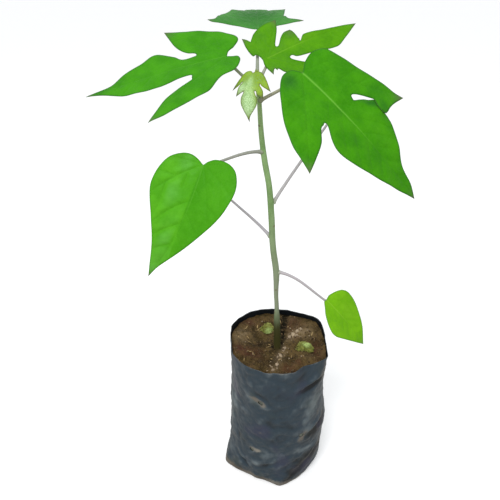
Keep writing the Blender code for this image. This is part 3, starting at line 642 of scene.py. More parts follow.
def flat_grid(low, high, spacing):
    """Points of an even triangular grid over a box, in rows."""
    rows = np.arange(low[1], high[1], spacing * sqrt(3) / 2)
    points = []
    for n, row in enumerate(rows):
        across = np.arange(low[0] + (n % 2) * spacing / 2, high[0], spacing)
        points.append(np.stack([across, np.full(len(across), row)], -1))
    return np.vstack(points)


def filled(points, border):
    """Flat points joined into triangles inside a closed border: where they end up, and the faces."""
    spots, _, faces, _, _, _ = delaunay_2d_cdt([Vector(p) for p in points], border, [], 1, 1e-7)
    return spots, [tuple(face) for face in faces]


# Soft patches on the ground, by tone: middle and half-sizes in millimetres, turn in degrees, how strong. The
# dark patches are partly damp soil and partly painted shadow.
SOIL_PATCHES = {
    # The first dark patch is the stem's shadow, painted as a long strip behind it.
    "damp_and_shadow": ((13.6, 34.0, 36.0, 4.2, 80, 1.3), (3.4, 2.0, 9.0, 4.0, 70, 0.5),
             (-12.0, 6.0, 14.0, 9.0, 20, 0.45), (-8.0, -22.0, 18.0, 6.0, 0, 0.35)),
    "sandy": ((-30.0, 19.0, 9.0, 13.0, 0, 0.46), (27.0, 22.5, 12.0, 7.0, 40, 0.85),
              (8.0, -14.0, 20.0, 4.5, 72, 0.55), (36.0, -14.0, 10.0, 8.0, 0, 0.10),
              (38.0, 24.0, 12.0, 10.0, 0, 0.24), (18.0, 46.0, 12.0, 6.0, 0, 0.32)),
    "reddish": ((-30.0, -3.0, 10.0, 6.0, -20, 1.0), (-22.0, 40.0, 10.0, 7.0, 20, 0.8),
                (22.0, 42.0, 12.0, 7.0, 0, 0.7), (46.0, -4.0, 6.0, 12.0, 0, 0.9),
                (-16.0, -14.0, 12.0, 6.0, -30, 0.6), (18.0, -26.0, 12.0, 6.0, 20, 0.4)),
    "dusty": (),                          # only the side, where the soil has dried against the film
}


def patched(patches, spots):
    """How strongly a row of soft patches tells at each flat spot."""
    total = np.zeros(len(spots))
    for x, y, half_length, half_width, degrees, strength in patches:
        u, v, turn = spots[:, 0] / MM - x, spots[:, 1] / MM - y, radians(degrees)
        along = (u * cos(turn) + v * sin(turn)) / half_length
        across = (v * cos(turn) - u * sin(turn)) / half_width
        total += strength * np.exp(-along ** 2 - across ** 2)
    return total


def soil_mesh():
    """The soil's rough top, with its plain side down to the foot so that it shows in the drain holes."""
    turns = -pi + 2 * pi * np.arange(SOIL_SIDES) / SOIL_SIDES
    rings = []
    for level in SOIL_RINGS:
        heights = np.full(SOIL_SIDES, level)
        gaps = np.full(SOIL_SIDES, SOIL_WALL_GAP if level == SOIL_LEVEL else SOIL_SIDE_GAP)
        for hole in DRAIN_HOLES:
            away = np.hypot(*on_film(hole, turns, heights))
            gaps -= SOIL_BULGE[0] * np.exp(-(away / SOIL_BULGE[1]) ** 2)
        ring = film_points(turns, heights, gaps)
        ring[:, 2] = level
        rings.append(ring)
    edge = rings[0][:, :2]
    middle = edge.mean(0)
    grid = flat_grid(edge.min(0), edge.max(0), SOIL_SPACING)
    turn = np.arctan2(grid[:, 1] - middle[1], grid[:, 0] - middle[0])
    wall = np.hypot(*(edge - middle).T)
    wall_turn = np.arctan2(*(edge - middle).T[::-1])
    order = np.argsort(wall_turn)
    reach = np.interp(turn, wall_turn[order], wall[order], period=2 * pi)
    grid = grid[np.hypot(*(grid - middle).T) < reach - 0.6 * SOIL_SPACING]
    border = [(i, (i + 1) % SOIL_SIDES) for i in range(SOIL_SIDES)]
    spots, faces = filled(np.vstack([edge, grid]), border)
    points = [(p.x, p.y, soil_height(p.x, p.y)) for p in spots]
    above = range(SOIL_SIDES)
    for ring in rings[1:]:
        below = range(len(points), len(points) + SOIL_SIDES)
        points += [tuple(p) for p in ring]
        faces += [(below[i], below[k], above[k], above[i]) for i, k in border]
        above = below
    faces.append(tuple(reversed(above)))
    tones = {tone: np.clip(patched(patches, np.array(points)[:, :2]), 0.0, 1.0)
             for tone, patches in SOIL_PATCHES.items()}
    for tone, ground in tones.items():
        ground[len(spots):] = 4.0 if tone == "dusty" else 0.0
    return smooth_mesh("potting_mix", points, faces, **tones)


def soil_finish():
    """Brown soil, redder and darker by patches, with pale sand grains, dark moist hollows, and the stem's
    shadow painted as a dark strip.
    """
    mat, tree, shader = new_finish("potting_mix", 0.9, 0.15)
    place = in_place(tree)
    tone = tone_patches(tree, place, 0.009, 0.9)
    red = graded(tree, clouds(tree, place, 0.022, 2.0), 0.50, 0.66)
    tan = graded(tree, clouds(tree, in_place(tree, (1.0, 1.0, 1.4)), 0.017, 2.0), 0.55, 0.72)
    colour = coated(tree, mixed(tree, tone, (54, 43, 21), (92, 74, 43)),
                    (times(tree, red, 0.35), (86, 50, 34)), (times(tree, tan, 0.35), (104, 84, 52)))
    ragged = plus(tree, graded(tree, clouds(tree, place, 0.005, 4.0, 0.65), 0.34, 0.60), 0.25)
    for layer, strength, shade in (("sandy", 0.95, (146, 126, 98)), ("reddish", 0.75, (82, 51, 38)),
                                   ("damp_and_shadow", 1.5, (24, 19, 5)), ("dusty", 1.0, (112, 116, 106))):
        share = times(tree, stored(tree, layer), ragged)
        colour = mixed(tree, times(tree, share, strength, clamp=True), colour, shade)
    grains = add_node(tree, "ShaderNodeTexVoronoi", {"Vector": place, "Scale": 1500.0})
    pale = graded(tree, grains.outputs["Distance"], 0.22, 0.12)
    own = add_node(tree, "ShaderNodeSeparateColor", {0: grains.outputs["Color"]}).outputs[0]
    colour = mixed(tree, times(tree, pale, graded(tree, own, 0.86, 0.90)), colour, (176, 158, 128))
    dress(tree, shader, colour, clouds(tree, place, 0.0011, 6.0, 0.7), 0.9, 0.0006,
          graded(tree, tone, 0.0, 1.0, 0.95, 0.82))
    return mat


potting_mix = new_piece("potting_mix", soil_mesh(), soil_finish())
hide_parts("soil")


def lump(points, faces, tones, middle, size, flatness, detail, dice, tone):
    """Add one irregular stone or crumb to a growing mesh."""
    ball = bmesh.new()
    bmesh.ops.create_icosphere(ball, subdivisions=detail, radius=1.0)
    shift = Vector(dice.uniform(-50, 50, 3))
    turn = dice.uniform(0, 2 * pi)
    start = len(points)
    for v in ball.verts:
        spot = v.co * sum((depth * noise.noise(v.co * rate + shift) for depth, rate in LUMP_DENTS), 1)
        spot = Vector((spot.x * cos(turn) - LUMP_NARROWNESS * spot.y * sin(turn),
                       spot.x * sin(turn) + LUMP_NARROWNESS * spot.y * cos(turn), spot.z * flatness))
        points.append(tuple(Vector(middle) + spot * size))
        tones.append(tone)
    faces += [tuple(start + v.index for v in f.verts) for f in ball.faces]
    ball.free()


def thrown(dice, reach):
    """A spot on the soil, thrown evenly within this reach of its middle."""
    turn, away = dice.uniform(-pi, pi), reach * sqrt(dice.random())
    return SOIL_MIDDLE[0] + away * cos(turn), SOIL_MIDDLE[1] + away * sin(turn)


def stone_finish(name, dark, pale):
    """Dusty stone or crumb, each with its own tone from the mesh."""
    mat, tree, shader = new_finish(name, 0.85, 0.3)
    place = in_place(tree)
    own = plus(tree, stored(tree, "tone"), times(tree, tone_patches(tree, place, 0.0022, 0.8), 0.22))
    colour = mixed(tree, worked_out(tree, "SUBTRACT", own, 0.11, clamp=True), dark, pale)
    dress(tree, shader, colour, clouds(tree, place, 0.0006, 4.0), 0.6, 0.0003)
    return mat


def stones_mesh():
    """The stones, each sunk a third into the soil."""
    dice = np.random.default_rng(23)
    points, faces, tones = [], [], []
    # Small gravel lies round the larger stones.
    gravel = [Stone(stone.x + dice.normal(0, 3.2), stone.y + dice.normal(0, 3.2), dice.uniform(0.9, 2.3),
                    dice.uniform(0.30, 0.75)) for stone in STONES[:11] for _ in range(5)]
    for stone in (*STONES, *gravel):
        x, y, size = stone.x * MM, stone.y * MM, stone.size * MM / 2
        middle = (x, y, soil_height(x, y) + 0.15 * size)
        lump(points, faces, tones, middle, size, STONE_FLATNESS, 4, dice, stone.tone)
    return smooth_mesh("soil_stones", points, faces, tone=tones)


def crumbs_mesh():
    """Loose crumbs and grit, strewn evenly but kept clear of the stem."""
    dice = np.random.default_rng(31)
    points, faces, tones = [], [], []
    laid = 0
    while laid < CRUMBS:
        x, y = thrown(dice, CRUMB_REACH)
        size = (0.30 + 0.95 * dice.random() ** 3) * MM
        if (Vector((x, y)) - STEM_FOOT).length < STEM_CLEAR:
            continue
        middle = (x, y, soil_height(x, y) + 0.3 * size)
        lump(points, faces, tones, middle, size, CRUMB_FLATNESS, 2, dice, 0.15 + 0.75 * dice.random() ** 2.5)
        laid += 1
    return smooth_mesh("soil_crumbs", points, faces, tone=tones)


def husks_mesh():
    """Slivers of dry husk and straw, laid flat."""
    dice = np.random.default_rng(47)
    points, faces, tones = [], [], []
    for _ in range(HUSKS):
        x, y = thrown(dice, HUSK_REACH)
        heading, length = dice.uniform(0, pi), dice.uniform(*HUSK_LENGTHS)
        width, tone = dice.uniform(*HUSK_WIDTHS), dice.uniform(0.35, 1.0)
        tilt = dice.uniform(-HUSK_TILT, HUSK_TILT)
        faces += tube_faces(len(points), HUSK_RINGS, HUSK_SIDES)
        for n in range(HUSK_RINGS):
            share = n / (HUSK_RINGS - 1)
            half = width * max(0.12, sin(pi * (0.08 + 0.84 * share)))
            along = (share - 0.5) * length
            bow = HUSK_BOW * sin(pi * share)
            px, py = x + along * cos(heading), y + along * sin(heading)
            pz = soil_height(px, py) + HUSK_LIFT + bow + tilt * along
            for corner in range(HUSK_SIDES):
                angle = corner * 2 * pi / HUSK_SIDES
                side, up = half * cos(angle), HUSK_FLATNESS * half * sin(angle)
                points.append((px - side * sin(heading), py + side * cos(heading), pz + up))
                tones.append(tone)
    return smooth_mesh("soil_husks", points, faces, tone=tones)


for name, mesh, finish in (
        ("soil_stones", stones_mesh(), stone_finish("river_stone", (96, 78, 58), (186, 166, 140))),
        ("soil_crumbs", crumbs_mesh(), stone_finish("soil_crumb", (46, 34, 20), (122, 100, 70))),
        ("soil_husks", husks_mesh(), stone_finish("dry_husk", (92, 70, 44), (178, 152, 104)))):
    new_piece(name, mesh, finish)


# Low cushions of moss, each a rosette of small rounded scales round a paler, younger middle.
Moss = namedtuple("Moss", "x y spread pale_x pale_y")
MOSS = (
    Moss(-2.4, 31.0, 7.2, 1.2, -3.8),
    Moss(34.4, -0.2, 8.4, 1.8, 1.6),
)
MOSS_SCALES = 230
SCALE_ROWS, SCALE_COLUMNS = 5, 3          # points along and across a scale, on each of its two faces
# A scale's half-width, cup, arch and thickness, and how far it reaches, as shares of its size.
SCALE_HALF, SCALE_CUP, SCALE_ARCH, SCALE_THICK, SCALE_REACH = 0.58, 0.22, 0.10, 0.05, 1.15
SCALE_SUNK = 0.0002
MOSS_DOME, MOSS_BUMP, MOSS_BUMP_RATE = 0.0022, 0.0004, 900
MOSS_HEART = (0.0018, 0.0055)             # pale within the first distance, plain beyond the second
MAT_RINGS, MAT_SIDES = 9, 40              # the old matted growth beneath


def on_cushion(cushion, share, turn, spread):
    """A spot of a cushion: its place, the ground under it, and how near it is to the pale heart."""
    away = cushion.spread * share * spread * MM
    x, y = cushion.x * MM + away * cos(turn), cushion.y * MM + away * sin(turn)
    ground = soil_height(cushion.x * MM, cushion.y * MM) * 0.4 + soil_height(x, y) * 0.6
    from_heart = Vector((x - (cushion.x + cushion.pale_x) * MM, y - (cushion.y + cushion.pale_y) * MM)).length
    return x, y, ground, float(1 - ease(*MOSS_HEART, from_heart))


def moss_mesh():
    """Both cushions: cupped scales laid over a low dome, smaller and more upright in the middle."""
    dice = np.random.default_rng(61)
    points, faces, pale = [], [], []
    golden = pi * (3 - sqrt(5))
    face_points = SCALE_ROWS * SCALE_COLUMNS
    for cushion in MOSS:
        for n in range(MOSS_SCALES):
            share = sqrt((n + 0.5) / MOSS_SCALES)
            turn = n * golden + dice.uniform(-0.25, 0.25)
            x, y, ground, heart = on_cushion(cushion, share, turn, 1 + 0.14 * sin(3 * turn + cushion.x))
            root = Vector((x, y, ground + MOSS_DOME * (1 - share ** 2) - SCALE_SUNK))
            size = (0.75 + 0.40 * share) * dice.uniform(0.8, 1.2) * MM
            lean = radians(66 - 44 * share + dice.uniform(-8, 8))
            heading = turn + dice.uniform(-0.4, 0.4)
            out = Vector((cos(heading) * cos(lean), sin(heading) * cos(lean), sin(lean)))
            side = Vector((-sin(heading), cos(heading), 0.0))
            up = out.cross(side)
            glow = min(1.0, max(0.0, heart + dice.uniform(-0.12, 0.12)))
            start = len(points)
            for layer in (1.0, -1.0):
                for row in range(SCALE_ROWS):
                    along = row / (SCALE_ROWS - 1)
                    half = SCALE_HALF * sqrt(max(0.0, sin(pi * (0.10 + 0.86 * along)))) * size
                    for column in np.linspace(-1.0, 1.0, SCALE_COLUMNS):
                        cup = SCALE_CUP * size * column * column + SCALE_ARCH * size * sin(pi * along)
                        plump = (1 - abs(column)) * sin(pi * (0.05 + 0.9 * along))
                        rise = cup + SCALE_THICK * size * layer * plump
                        points.append(tuple(root + out * (along * size * SCALE_REACH) + side * (half * column)
                                            + up * rise))
            pale += [glow] * (2 * face_points)
            for row in range(SCALE_ROWS - 1):
                for column in range(SCALE_COLUMNS - 1):
                    a = start + row * SCALE_COLUMNS + column
                    b = a + face_points
                    faces.append((a, a + 1, a + SCALE_COLUMNS + 1, a + SCALE_COLUMNS))
                    faces.append((b, b + SCALE_COLUMNS, b + SCALE_COLUMNS + 1, b + 1))
        # The old matted growth beneath, a low bumpy dome that hides the soil.
        start = len(points)
        for ring in range(MAT_RINGS):
            share = ring / (MAT_RINGS - 1)
            for n in range(MAT_SIDES):
                turn = 2 * pi * n / MAT_SIDES
                spread = 0.98 + 0.12 * sin(3 * turn + cushion.x)
                x, y, ground, heart = on_cushion(cushion, share, turn, spread)
                bump = MOSS_BUMP * noise.noise(Vector((x, y, 0.1)) * MOSS_BUMP_RATE)
                points.append((x, y, ground + (MOSS_DOME + bump) * (1 - share ** 2) - 0.0004 * share))
                pale.append(0.7 * heart)
        # Its rings run outwards, so its faces turn the other way round from a tube's.
        faces += [(a, d, c, b) for a, b, c, d in tube_faces(start, MAT_RINGS, MAT_SIDES)[:-2]]
    return smooth_mesh("soil_moss", points, faces, pale=pale)


def moss_finish():
    """Olive moss with a fresh yellow-green heart."""
    mat, tree, shader = new_finish("soil_moss", 0.6, 0.3)
    place = in_place(tree)
    colour = mixed(tree, tone_patches(tree, place, 0.003, 0.6), (104, 108, 40), (146, 148, 72))
    colour = mixed(tree, stored(tree, "pale"), colour, (174, 194, 120))
    dress(tree, shader, colour, clouds(tree, place, 0.0005), 0.4, 0.0002)
    return mat


soil_moss = new_piece("soil_moss", moss_mesh(), moss_finish())


# ========================================================================================
# Stem
# One soft green stem, thickest at the soil and pale lower down, where its skin turns corky. It
# leans back over the bag and keeps a small shield-shaped scar wherever an old leaf has dropped.
# ========================================================================================

StemNode = namedtuple("StemNode", "x z radius")
STEM = [StemNode(*row) for row in (
    (6.4, 163.2, 4.3), (6.4, 164.3, 3.9), (6.4, 167.0, 3.7), (6.1, 178.0, 3.45),
    (5.5, 196.0, 3.25), (5.1, 206.0, 2.75), (4.7, 216.0, 2.15), (3.7, 233.0, 2.15),
    (3.2, 256.7, 2.95), (-0.4, 284.0, 2.8), (-2.4, 315.0, 2.8), (-4.9, 343.0, 2.65),
    (-9.0, 365.5, 2.5), (-12.0, 388.0, 2.15), (-13.8, 413.0, 1.8), (-15.3, 428.2, 1.6),
    (-15.9, 437.1, 1.0),
)]
STEM_SIDES = 36
STEM_RINGS = 420
STEM_RIBS = 0.00004                       # how high its faint ribs stand
NODE_SWELL, NODE_ACROSS, NODE_UP = 0.00035, 0.9, 2.6      # the swelling below each stalk
SCAR_HALF, SCAR_LIP, SCAR_DIP = 1.5, 0.00017, 0.00010     # a scar's half-width, raised lip and sunk face
FIRST_SCAR_TURN = 20
SCAR_TURN = 137.5                         # each scar is this far round from the one below
# The scars' heights, from the seed leaves' pair just above the soil to the newest.
SCARS = (181.0, 184.0, 193.0, 202.0, 211.0, 219.5, 228.0, 238.0, 247.5, 270.0, 306.0, 352.0, 396.0)


# A leaf is drawn flat, in millimetres and degrees: the blade's joint with its stalk is the centre, u runs
# along its midrib and v to its left, and the margin is a row of lobes and bays turned about the joint.
Lobe = namedtuple("Lobe", "angle reach right left bow", defaults=(0.0,))
Bay = namedtuple("Bay", "angle depth width")
# Its stalk leaves the stem at stem_z with the launch pitch, and bends by spring and tuck.
Leaf = namedtuple("Leaf", "joint heading pitch roll length droop fold right_ear left_ear margin "
                          "stem_z launch sag notch spring tuck", defaults=(0.05, 0.0, 0.30, 0.25))
PLAIN_EAR = ((1.5, 4.0), (4.5, 10.0), (2.5, 19.0))        # the same on both sides of the two shaded leaves
LEAVES = {
    "front_right": Leaf(
        joint=(15.0, -40.0, 444.8), heading=-30.2, pitch=-28.0, roll=27.0, length=116.5,
        droop=24.0, fold=0.12, sag=0.08,
        right_ear=((2.6, 1.5), (6.9, 5.4), (7.6, 13.5), (1.6, 24.0)),
        left_ear=((1.5, 3.0), (4.6, 9.0), (5.6, 18.5), (1.5, 27.0)),
        margin=(
            Lobe(-48.9, 78.9, ((0.36, 17.0), (0.58, 15.6), (0.78, 10.3)),
                 ((0.56, 10.2), (0.70, 9.7), (0.86, 5.2))),
            Bay(-30.9, 41.9, 1.6),
            Lobe(0.0, 122.8, ((0.42, 29.8), (0.51, 29.4), (0.65, 23.0), (0.83, 12.3)),
                 ((0.317, 10.0), (0.34, 14.1), (0.362, 16.6), (0.383, 18.6), (0.41, 20.3), (0.455, 21.0),
                  (0.51, 21.5), (0.572, 20.0), (0.69, 12.6), (0.80, 5.6), (0.91, 3.0)), -0.12),
            Bay(17.8, 37.2, 1.9),
            Lobe(32.9, 75.4, ((0.56, 7.8), (0.65, 7.9), (0.70, 8.0), (0.755, 9.8), (0.81, 12.0),
                              (0.852, 12.9), (0.872, 10.2), (0.92, 5.8)),
                 ((0.23, 22.4), (0.42, 15.8), (0.61, 10.2), (0.88, 2.4))),
        ),
        stem_z=416.5, launch=29.0),
    "left": Leaf(
        joint=(-38.5, 0.0, 448.8), heading=-163.5, pitch=-2.5, roll=-28.0, length=108.5,
        droop=20.0, fold=0.10, sag=0.08,
        right_ear=((2.5, 5.0), (8.0, 9.5), (13.2, 19.2), (3.4, 25.8)),
        left_ear=((4.0, 1.0), (8.4, 1.5), (8.6, 6.5), (1.4, 17.0)),
        margin=(
            Lobe(-41.2, 54.3, ((0.34, 20.0), (0.62, 11.2), (0.87, 4.2)),
                 ((0.50, 11.6), (0.60, 12.2), (0.73, 9.6))),
            Bay(-14.9, 22.8, 1.6),
            Lobe(-2.6, 113.0, ((0.30, 2.7), (0.345, 6.4), (0.46, 13.2), (0.56, 9.0), (0.70, 4.2),
                               (0.81, -1.2)),
                 ((0.36, 17.6), (0.49, 21.8), (0.71, 18.2), (0.90, 5.0)), 0.22),
            Bay(27.4, 34.1, 1.6),
            Lobe(35.8, 85.6, ((0.44, 1.6), (0.62, 4.4), (0.78, 3.8)),
                 ((0.25, 12.6), (0.48, 15.6), (0.82, 7.0))),
        ),
        stem_z=427.5, launch=36.0),
    "back_right": Leaf(
        joint=(-7.1, 16.0, 444.5), heading=13.4, pitch=26.1, roll=52.0, length=75.0,
        droop=16.0, fold=0.10, notch=4.4,
        right_ear=((5.1, 2.9),), left_ear=((4.9, 3.3), (6.9, 6.8)),
        margin=(
            Lobe(-101.0, 14.6, ((0.50, 3.7),), ((0.70, 2.3),)),
            Bay(-79.0, 12.0, 0.8),
            Lobe(-45.0, 52.5, ((0.30, 7.8), (0.55, 7.3)), ((0.50, 4.1), (0.70, 4.9))),
            Bay(-28.0, 17.2, 1.6),
            Lobe(-3.3, 80.0, ((0.26, 8.9), (0.42, 11.2), (0.67, 14.2), (0.79, 9.9)),
                 ((0.42, 5.7), (0.65, 3.3))),
            Bay(1.8, 28.6, 0.6),
            Lobe(24.3, 28.4, ((0.96, 9.0), (0.99, 6.2), (1.01, 3.0)), ((0.66, 1.8), (0.83, 2.4))),
            Bay(27.9, 11.2, 1.4),
            Lobe(50.3, 30.6, ((0.77, 2.4),), ((0.56, 14.4), (0.80, 9.2))),
            Bay(107.0, 18.7, 0.4),
            Lobe(114.0, 25.7, ((0.86, 1.4),), ((0.40, 5.8), (0.72, 3.9))),
        ),
        stem_z=430.0, launch=45.0, tuck=0.60),
    "back": Leaf(
        joint=(-14.6, 55.0, 460.6), heading=92.0, pitch=21.5, roll=0.0, length=81.8,
        droop=30.0, fold=0.05,
        right_ear=((1.2, 2.6), (0.0, 8.2)), left_ear=((1.2, 2.6), (0.0, 8.2)),
        margin=(
            Lobe(-71.7, 41.4, ((0.47, 1.2), (0.88, 1.2)), ((0.76, 8.6),)),
            Bay(-44.7, 33.2, 0.8),
            Lobe(-27.0, 60.0, ((0.70, 6.5),), ((0.86, 3.4),)),
            Bay(-14.5, 48.0, 1.2),
            Lobe(-1.0, 76.0, ((0.74, 8.8), (0.88, 5.0)), ((0.74, 8.8), (0.88, 5.0))),
            Bay(12.0, 50.0, 1.0),
            Lobe(20.5, 60.0, ((0.90, 2.6),), ((0.76, 8.4),)),
            Bay(52.0, 40.0, 1.0),
            Lobe(69.7, 45.0, ((0.88, 3.5),), ((0.44, 1.6), (0.88, 2.5))),
        ),
        stem_z=433.0, launch=45.0),
    "heart_left": Leaf(
        joint=(-57.4, -30.0, 373.7), heading=-135.6, pitch=-55.7, roll=-29.1, length=103.5,
        droop=20.0, fold=0.25,
        right_ear=((2.8, 5.7), (4.0, 11.5), (2.2, 18.0)),
        left_ear=((4.0, 3.0), (7.6, 9.0), (8.0, 19.9), (3.0, 28.5)),
        margin=(
            Lobe(-6.7, 105.7, ((0.07, 25.3), (0.17, 28.5), (0.28, 28.7), (0.36, 26.2), (0.55, 15.7),
                               (0.72, 7.8)),
                 ((0.05, 34.0), (0.17, 34.6), (0.31, 31.7), (0.54, 22.0), (0.72, 12.8), (0.88, 4.2)), 0.25),
        ),
        stem_z=374.3, launch=14.0, spring=0.33),
    "low_right": Leaf(
        joint=(51.4, -5.0, 228.5), heading=-22.4, pitch=-39.0, roll=25.0, length=57.8,
        droop=16.0, fold=0.20,
        right_ear=((0.6, 3.0),), left_ear=((0.6, 6.0),),
        margin=(
            Lobe(0.0, 60.8, ((0.06, 8.2), (0.16, 14.9), (0.27, 20.0), (0.37, 22.3), (0.46, 21.5),
                             (0.57, 17.5), (0.80, 8.2)),
                 ((0.07, 17.1), (0.15, 20.9), (0.24, 21.7), (0.36, 20.5), (0.61, 14.7), (0.78, 9.8))),
        ),
        stem_z=256.5, launch=-10.0, spring=0.33, tuck=-0.10),
    "shaded_left": Leaf(
        joint=(-52.0, 38.0, 328.0), heading=150.0, pitch=-22.0, roll=-20.0, length=52.0,
        droop=20.0, fold=0.18,
        right_ear=PLAIN_EAR, left_ear=PLAIN_EAR,
        margin=(
            Lobe(0.0, 55.0, ((0.20, 23.0), (0.45, 20.5), (0.75, 9.5)),
                 ((0.20, 23.0), (0.45, 20.5), (0.75, 9.5))),
        ),
        stem_z=294.9, launch=35.0),
    "shaded_right": Leaf(
        joint=(58.0, 46.0, 402.0), heading=40.0, pitch=-25.0, roll=10.0, length=50.0,
        droop=20.0, fold=0.18,
        right_ear=PLAIN_EAR, left_ear=PLAIN_EAR,
        margin=(
            Lobe(0.0, 53.0, ((0.20, 22.0), (0.45, 19.5), (0.75, 9.0)),
                 ((0.20, 22.0), (0.45, 19.5), (0.75, 9.0))),
        ),
        stem_z=328.0, launch=50.0, spring=0.25),
    "young": Leaf(
        joint=(-19.0, -7.0, 438.0), heading=-108.0, pitch=-28.0, roll=2.0, length=38.0,
        droop=70.0, fold=-0.45, sag=0.10,
        right_ear=((2.0, 2.0), (2.6, 6.0)),
        left_ear=((2.0, 2.0), (2.6, 6.0)),
        margin=(
            Lobe(-47.5, 20.4, ((0.45, 4.2),), ((0.62, 1.6),)),
            Bay(-39.5, 10.5, 0.35),
            Lobe(-29.0, 22.6, ((0.66, 2.2),), ((0.70, 4.2),)),
            Bay(-15.5, 17.0, 0.5),
            Lobe(0.0, 42.0, ((0.50, 6.1), (0.62, 6.0), (0.74, 3.6), (0.86, 1.2)),
                 ((0.50, 6.5), (0.62, 6.4), (0.74, 4.0), (0.86, 1.3))),
            Bay(17.0, 16.0, 0.5),
            Lobe(28.0, 23.0, ((0.78, 3.0),), ((0.74, 2.2),)),
            Bay(38.5, 11.5, 0.45),
            Lobe(49.5, 20.3, ((0.62, 2.2),), ((0.50, 4.6),)),
        ),
        stem_z=434.0, launch=20.0),
}


def stem_at(z):
    """The stem's middle and radius at a height in millimetres, read smoothly between its nodes."""
    heights = [node.z for node in STEM]
    k = min(max(int(np.searchsorted(heights, z)) - 1, 0), len(STEM) - 2)
    low, high = STEM[k], STEM[k + 1]
    before, after = STEM[max(k - 1, 0)], STEM[min(k + 2, len(STEM) - 1)]
    span = high.z - low.z
    x, radius = (cubic(a, b, (b - start) / (high.z - before.z) * span, (end - a) / (after.z - low.z) * span,
                       (z - low.z) / span)
                 for start, a, b, end in ((before.x, low.x, high.x, after.x),
                                          (before.radius, low.radius, high.radius, after.radius)))
    return Vector((x, 0.0, z)) * MM, radius * MM


def stem_mesh():
    """A round tube with leaf scars, swollen below each stalk and lightly ribbed along its length."""
    stalk_turns = {leaf.stem_z: np.arctan2(leaf.joint[1], leaf.joint[0]) for leaf in LEAVES.values()}
    points, scar_share = [], []
    for k in range(STEM_RINGS):
        z = STEM[0].z + (STEM[-1].z - STEM[0].z) * k / (STEM_RINGS - 1)
        middle, radius = stem_at(z)
        for i in range(STEM_SIDES):
            turn = 2 * pi * i / STEM_SIDES
            out = Vector((cos(turn), sin(turn), 0.0))
            grain = Vector((cos(turn) * 3, sin(turn) * 3, z / 26))
            relief = 0.00010 * noise.noise(grain * 1.7) + 0.00012 * noise.noise(grain * 0.6)
            relief += STEM_RIBS * sin(9 * turn + 0.8 * noise.noise(grain))
            scar = 0.0
            for n, height in enumerate(SCARS):
                facing = radians(FIRST_SCAR_TURN + SCAR_TURN * n)
                across = ((turn - facing + pi) % (2 * pi) - pi) * radius / MM
                away = sqrt((across / SCAR_HALF) ** 2 + (z - height + 0.25 * abs(across)) ** 2)
                scar = max(scar, 1 - away if away < 1 else 0.0)
                relief += SCAR_LIP * np.exp(-((away - 1.0) / 0.28) ** 2) - SCAR_DIP * (away < 0.85)
            for height, facing in stalk_turns.items():
                across = (turn - facing + pi) % (2 * pi) - pi
                up = z - height + 0.8
                relief += NODE_SWELL * np.exp(-(across / NODE_ACROSS) ** 2 - (up / NODE_UP) ** 2)
            points.append(tuple(middle + out * (radius + relief)))
            scar_share.append(scar)
    return smooth_mesh("stem_skin", points, tube_faces(0, STEM_RINGS, STEM_SIDES), scar=scar_share)


def stem_finish():
    """Smooth green skin, greyer and corky near the soil, brown in the scars, splashed and darkened by painted
    shade at the foot.
    """
    mat, tree, shader = new_finish("stem_skin", 0.5, 0.35)
    place = in_place(tree)
    height = add_node(tree, "ShaderNodeSeparateXYZ", {0: place}).outputs["Z"]
    streaks = clouds(tree, in_place(tree, (1.0, 1.0, 0.12)), 0.0022, 4.0)
    tone = tone_patches(tree, place, 0.016, 0.4)
    # Painted shade: the foot darkens to olive, in streaks, below 0.209 m.
    shaded = times(tree, graded(tree, height, 0.209, 0.190), plus(tree, streaks, 0.55), clamp=True)
    splash = graded(tree, height, 0.182, 0.160, 0.0, 0.62)
    dust = placed_group(tree, DRY_DUST, {"Place": place, "Amount": splash, "Speck": 0.0010})
    corky = mixed(tree, streaks, (112, 124, 98), (152, 162, 136))
    colour = coated(tree, mixed(tree, tone, (110, 144, 86), (138, 170, 114)),
                    (graded(tree, height, 0.345, 0.235), corky),
                    (graded(tree, height, 0.220, 0.204, 0.0, 0.8), (88, 100, 70)),
                    (graded(tree, height, 0.375, 0.405), (160, 190, 132)),
                    (times(tree, graded(tree, streaks, 0.45, 0.70), 0.35), (108, 136, 86)),
                    (graded(tree, stored(tree, "scar"), 0.0, 0.35, 0.0, 0.75), (112, 98, 74)),
                    (shaded, (54, 54, 20)), (times(tree, dust["Mask"], 0.8), (74, 60, 38)))
    dress(tree, shader, colour, plus(tree, streaks, times(tree, dust["Height"], 0.8)), 0.45, 0.0003,
          graded(tree, streaks, 0.3, 0.7, 0.42, 0.60))
    return mat


stem_skin = new_piece("stem_skin", stem_mesh(), stem_finish())
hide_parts("stem")


# ========================================================================================
# Leaf stalks
# Long hollow stalks, greyish mauve above and greener below. Each clasps the stem with a flared
# foot, thins quickly, and meets its blade from beneath at the end of the cleft.
# ========================================================================================

GAP = 0.3 * MM
BLADE_THICK = 1.3 * MM
STALK_FOOT = 1.35 * MM
STALK_TIP = 0.85 * MM
STALK_FLARE = (0.85 * MM, 2.4 * MM)       # how much wider at the stem, and over what length
STALK_KNEE = (0.28 * MM, 3.0 * MM)        # the same beneath the blade
STALK_CLOSES = (1.0, 0.85, 0.65)          # how it narrows over its last two rings, inside the blade
STALK_PLUMP = 1.12                        # the drawn stalk is a little fuller than its path's radius
STALK_CHANNEL, STALK_GRAIN = 0.10, 0.00005
STALK_SIDES = 20
STALK_RINGS = 110
FOLD_SOFT = 4.0 * MM


def blade_frame(leaf):
    """Unit vectors along the midrib, to its left, and out of the upper face."""
    heading, pitch, roll = (radians(a) for a in (leaf.heading, leaf.pitch, leaf.roll))
    along = Vector((cos(pitch) * cos(heading), cos(pitch) * sin(heading), sin(pitch)))
    level = Vector((-sin(heading), cos(heading), 0.0))
    face = along.cross(level)
    across = level * cos(roll) + face * sin(roll)
    return along, across, face * cos(roll) - level * sin(roll)


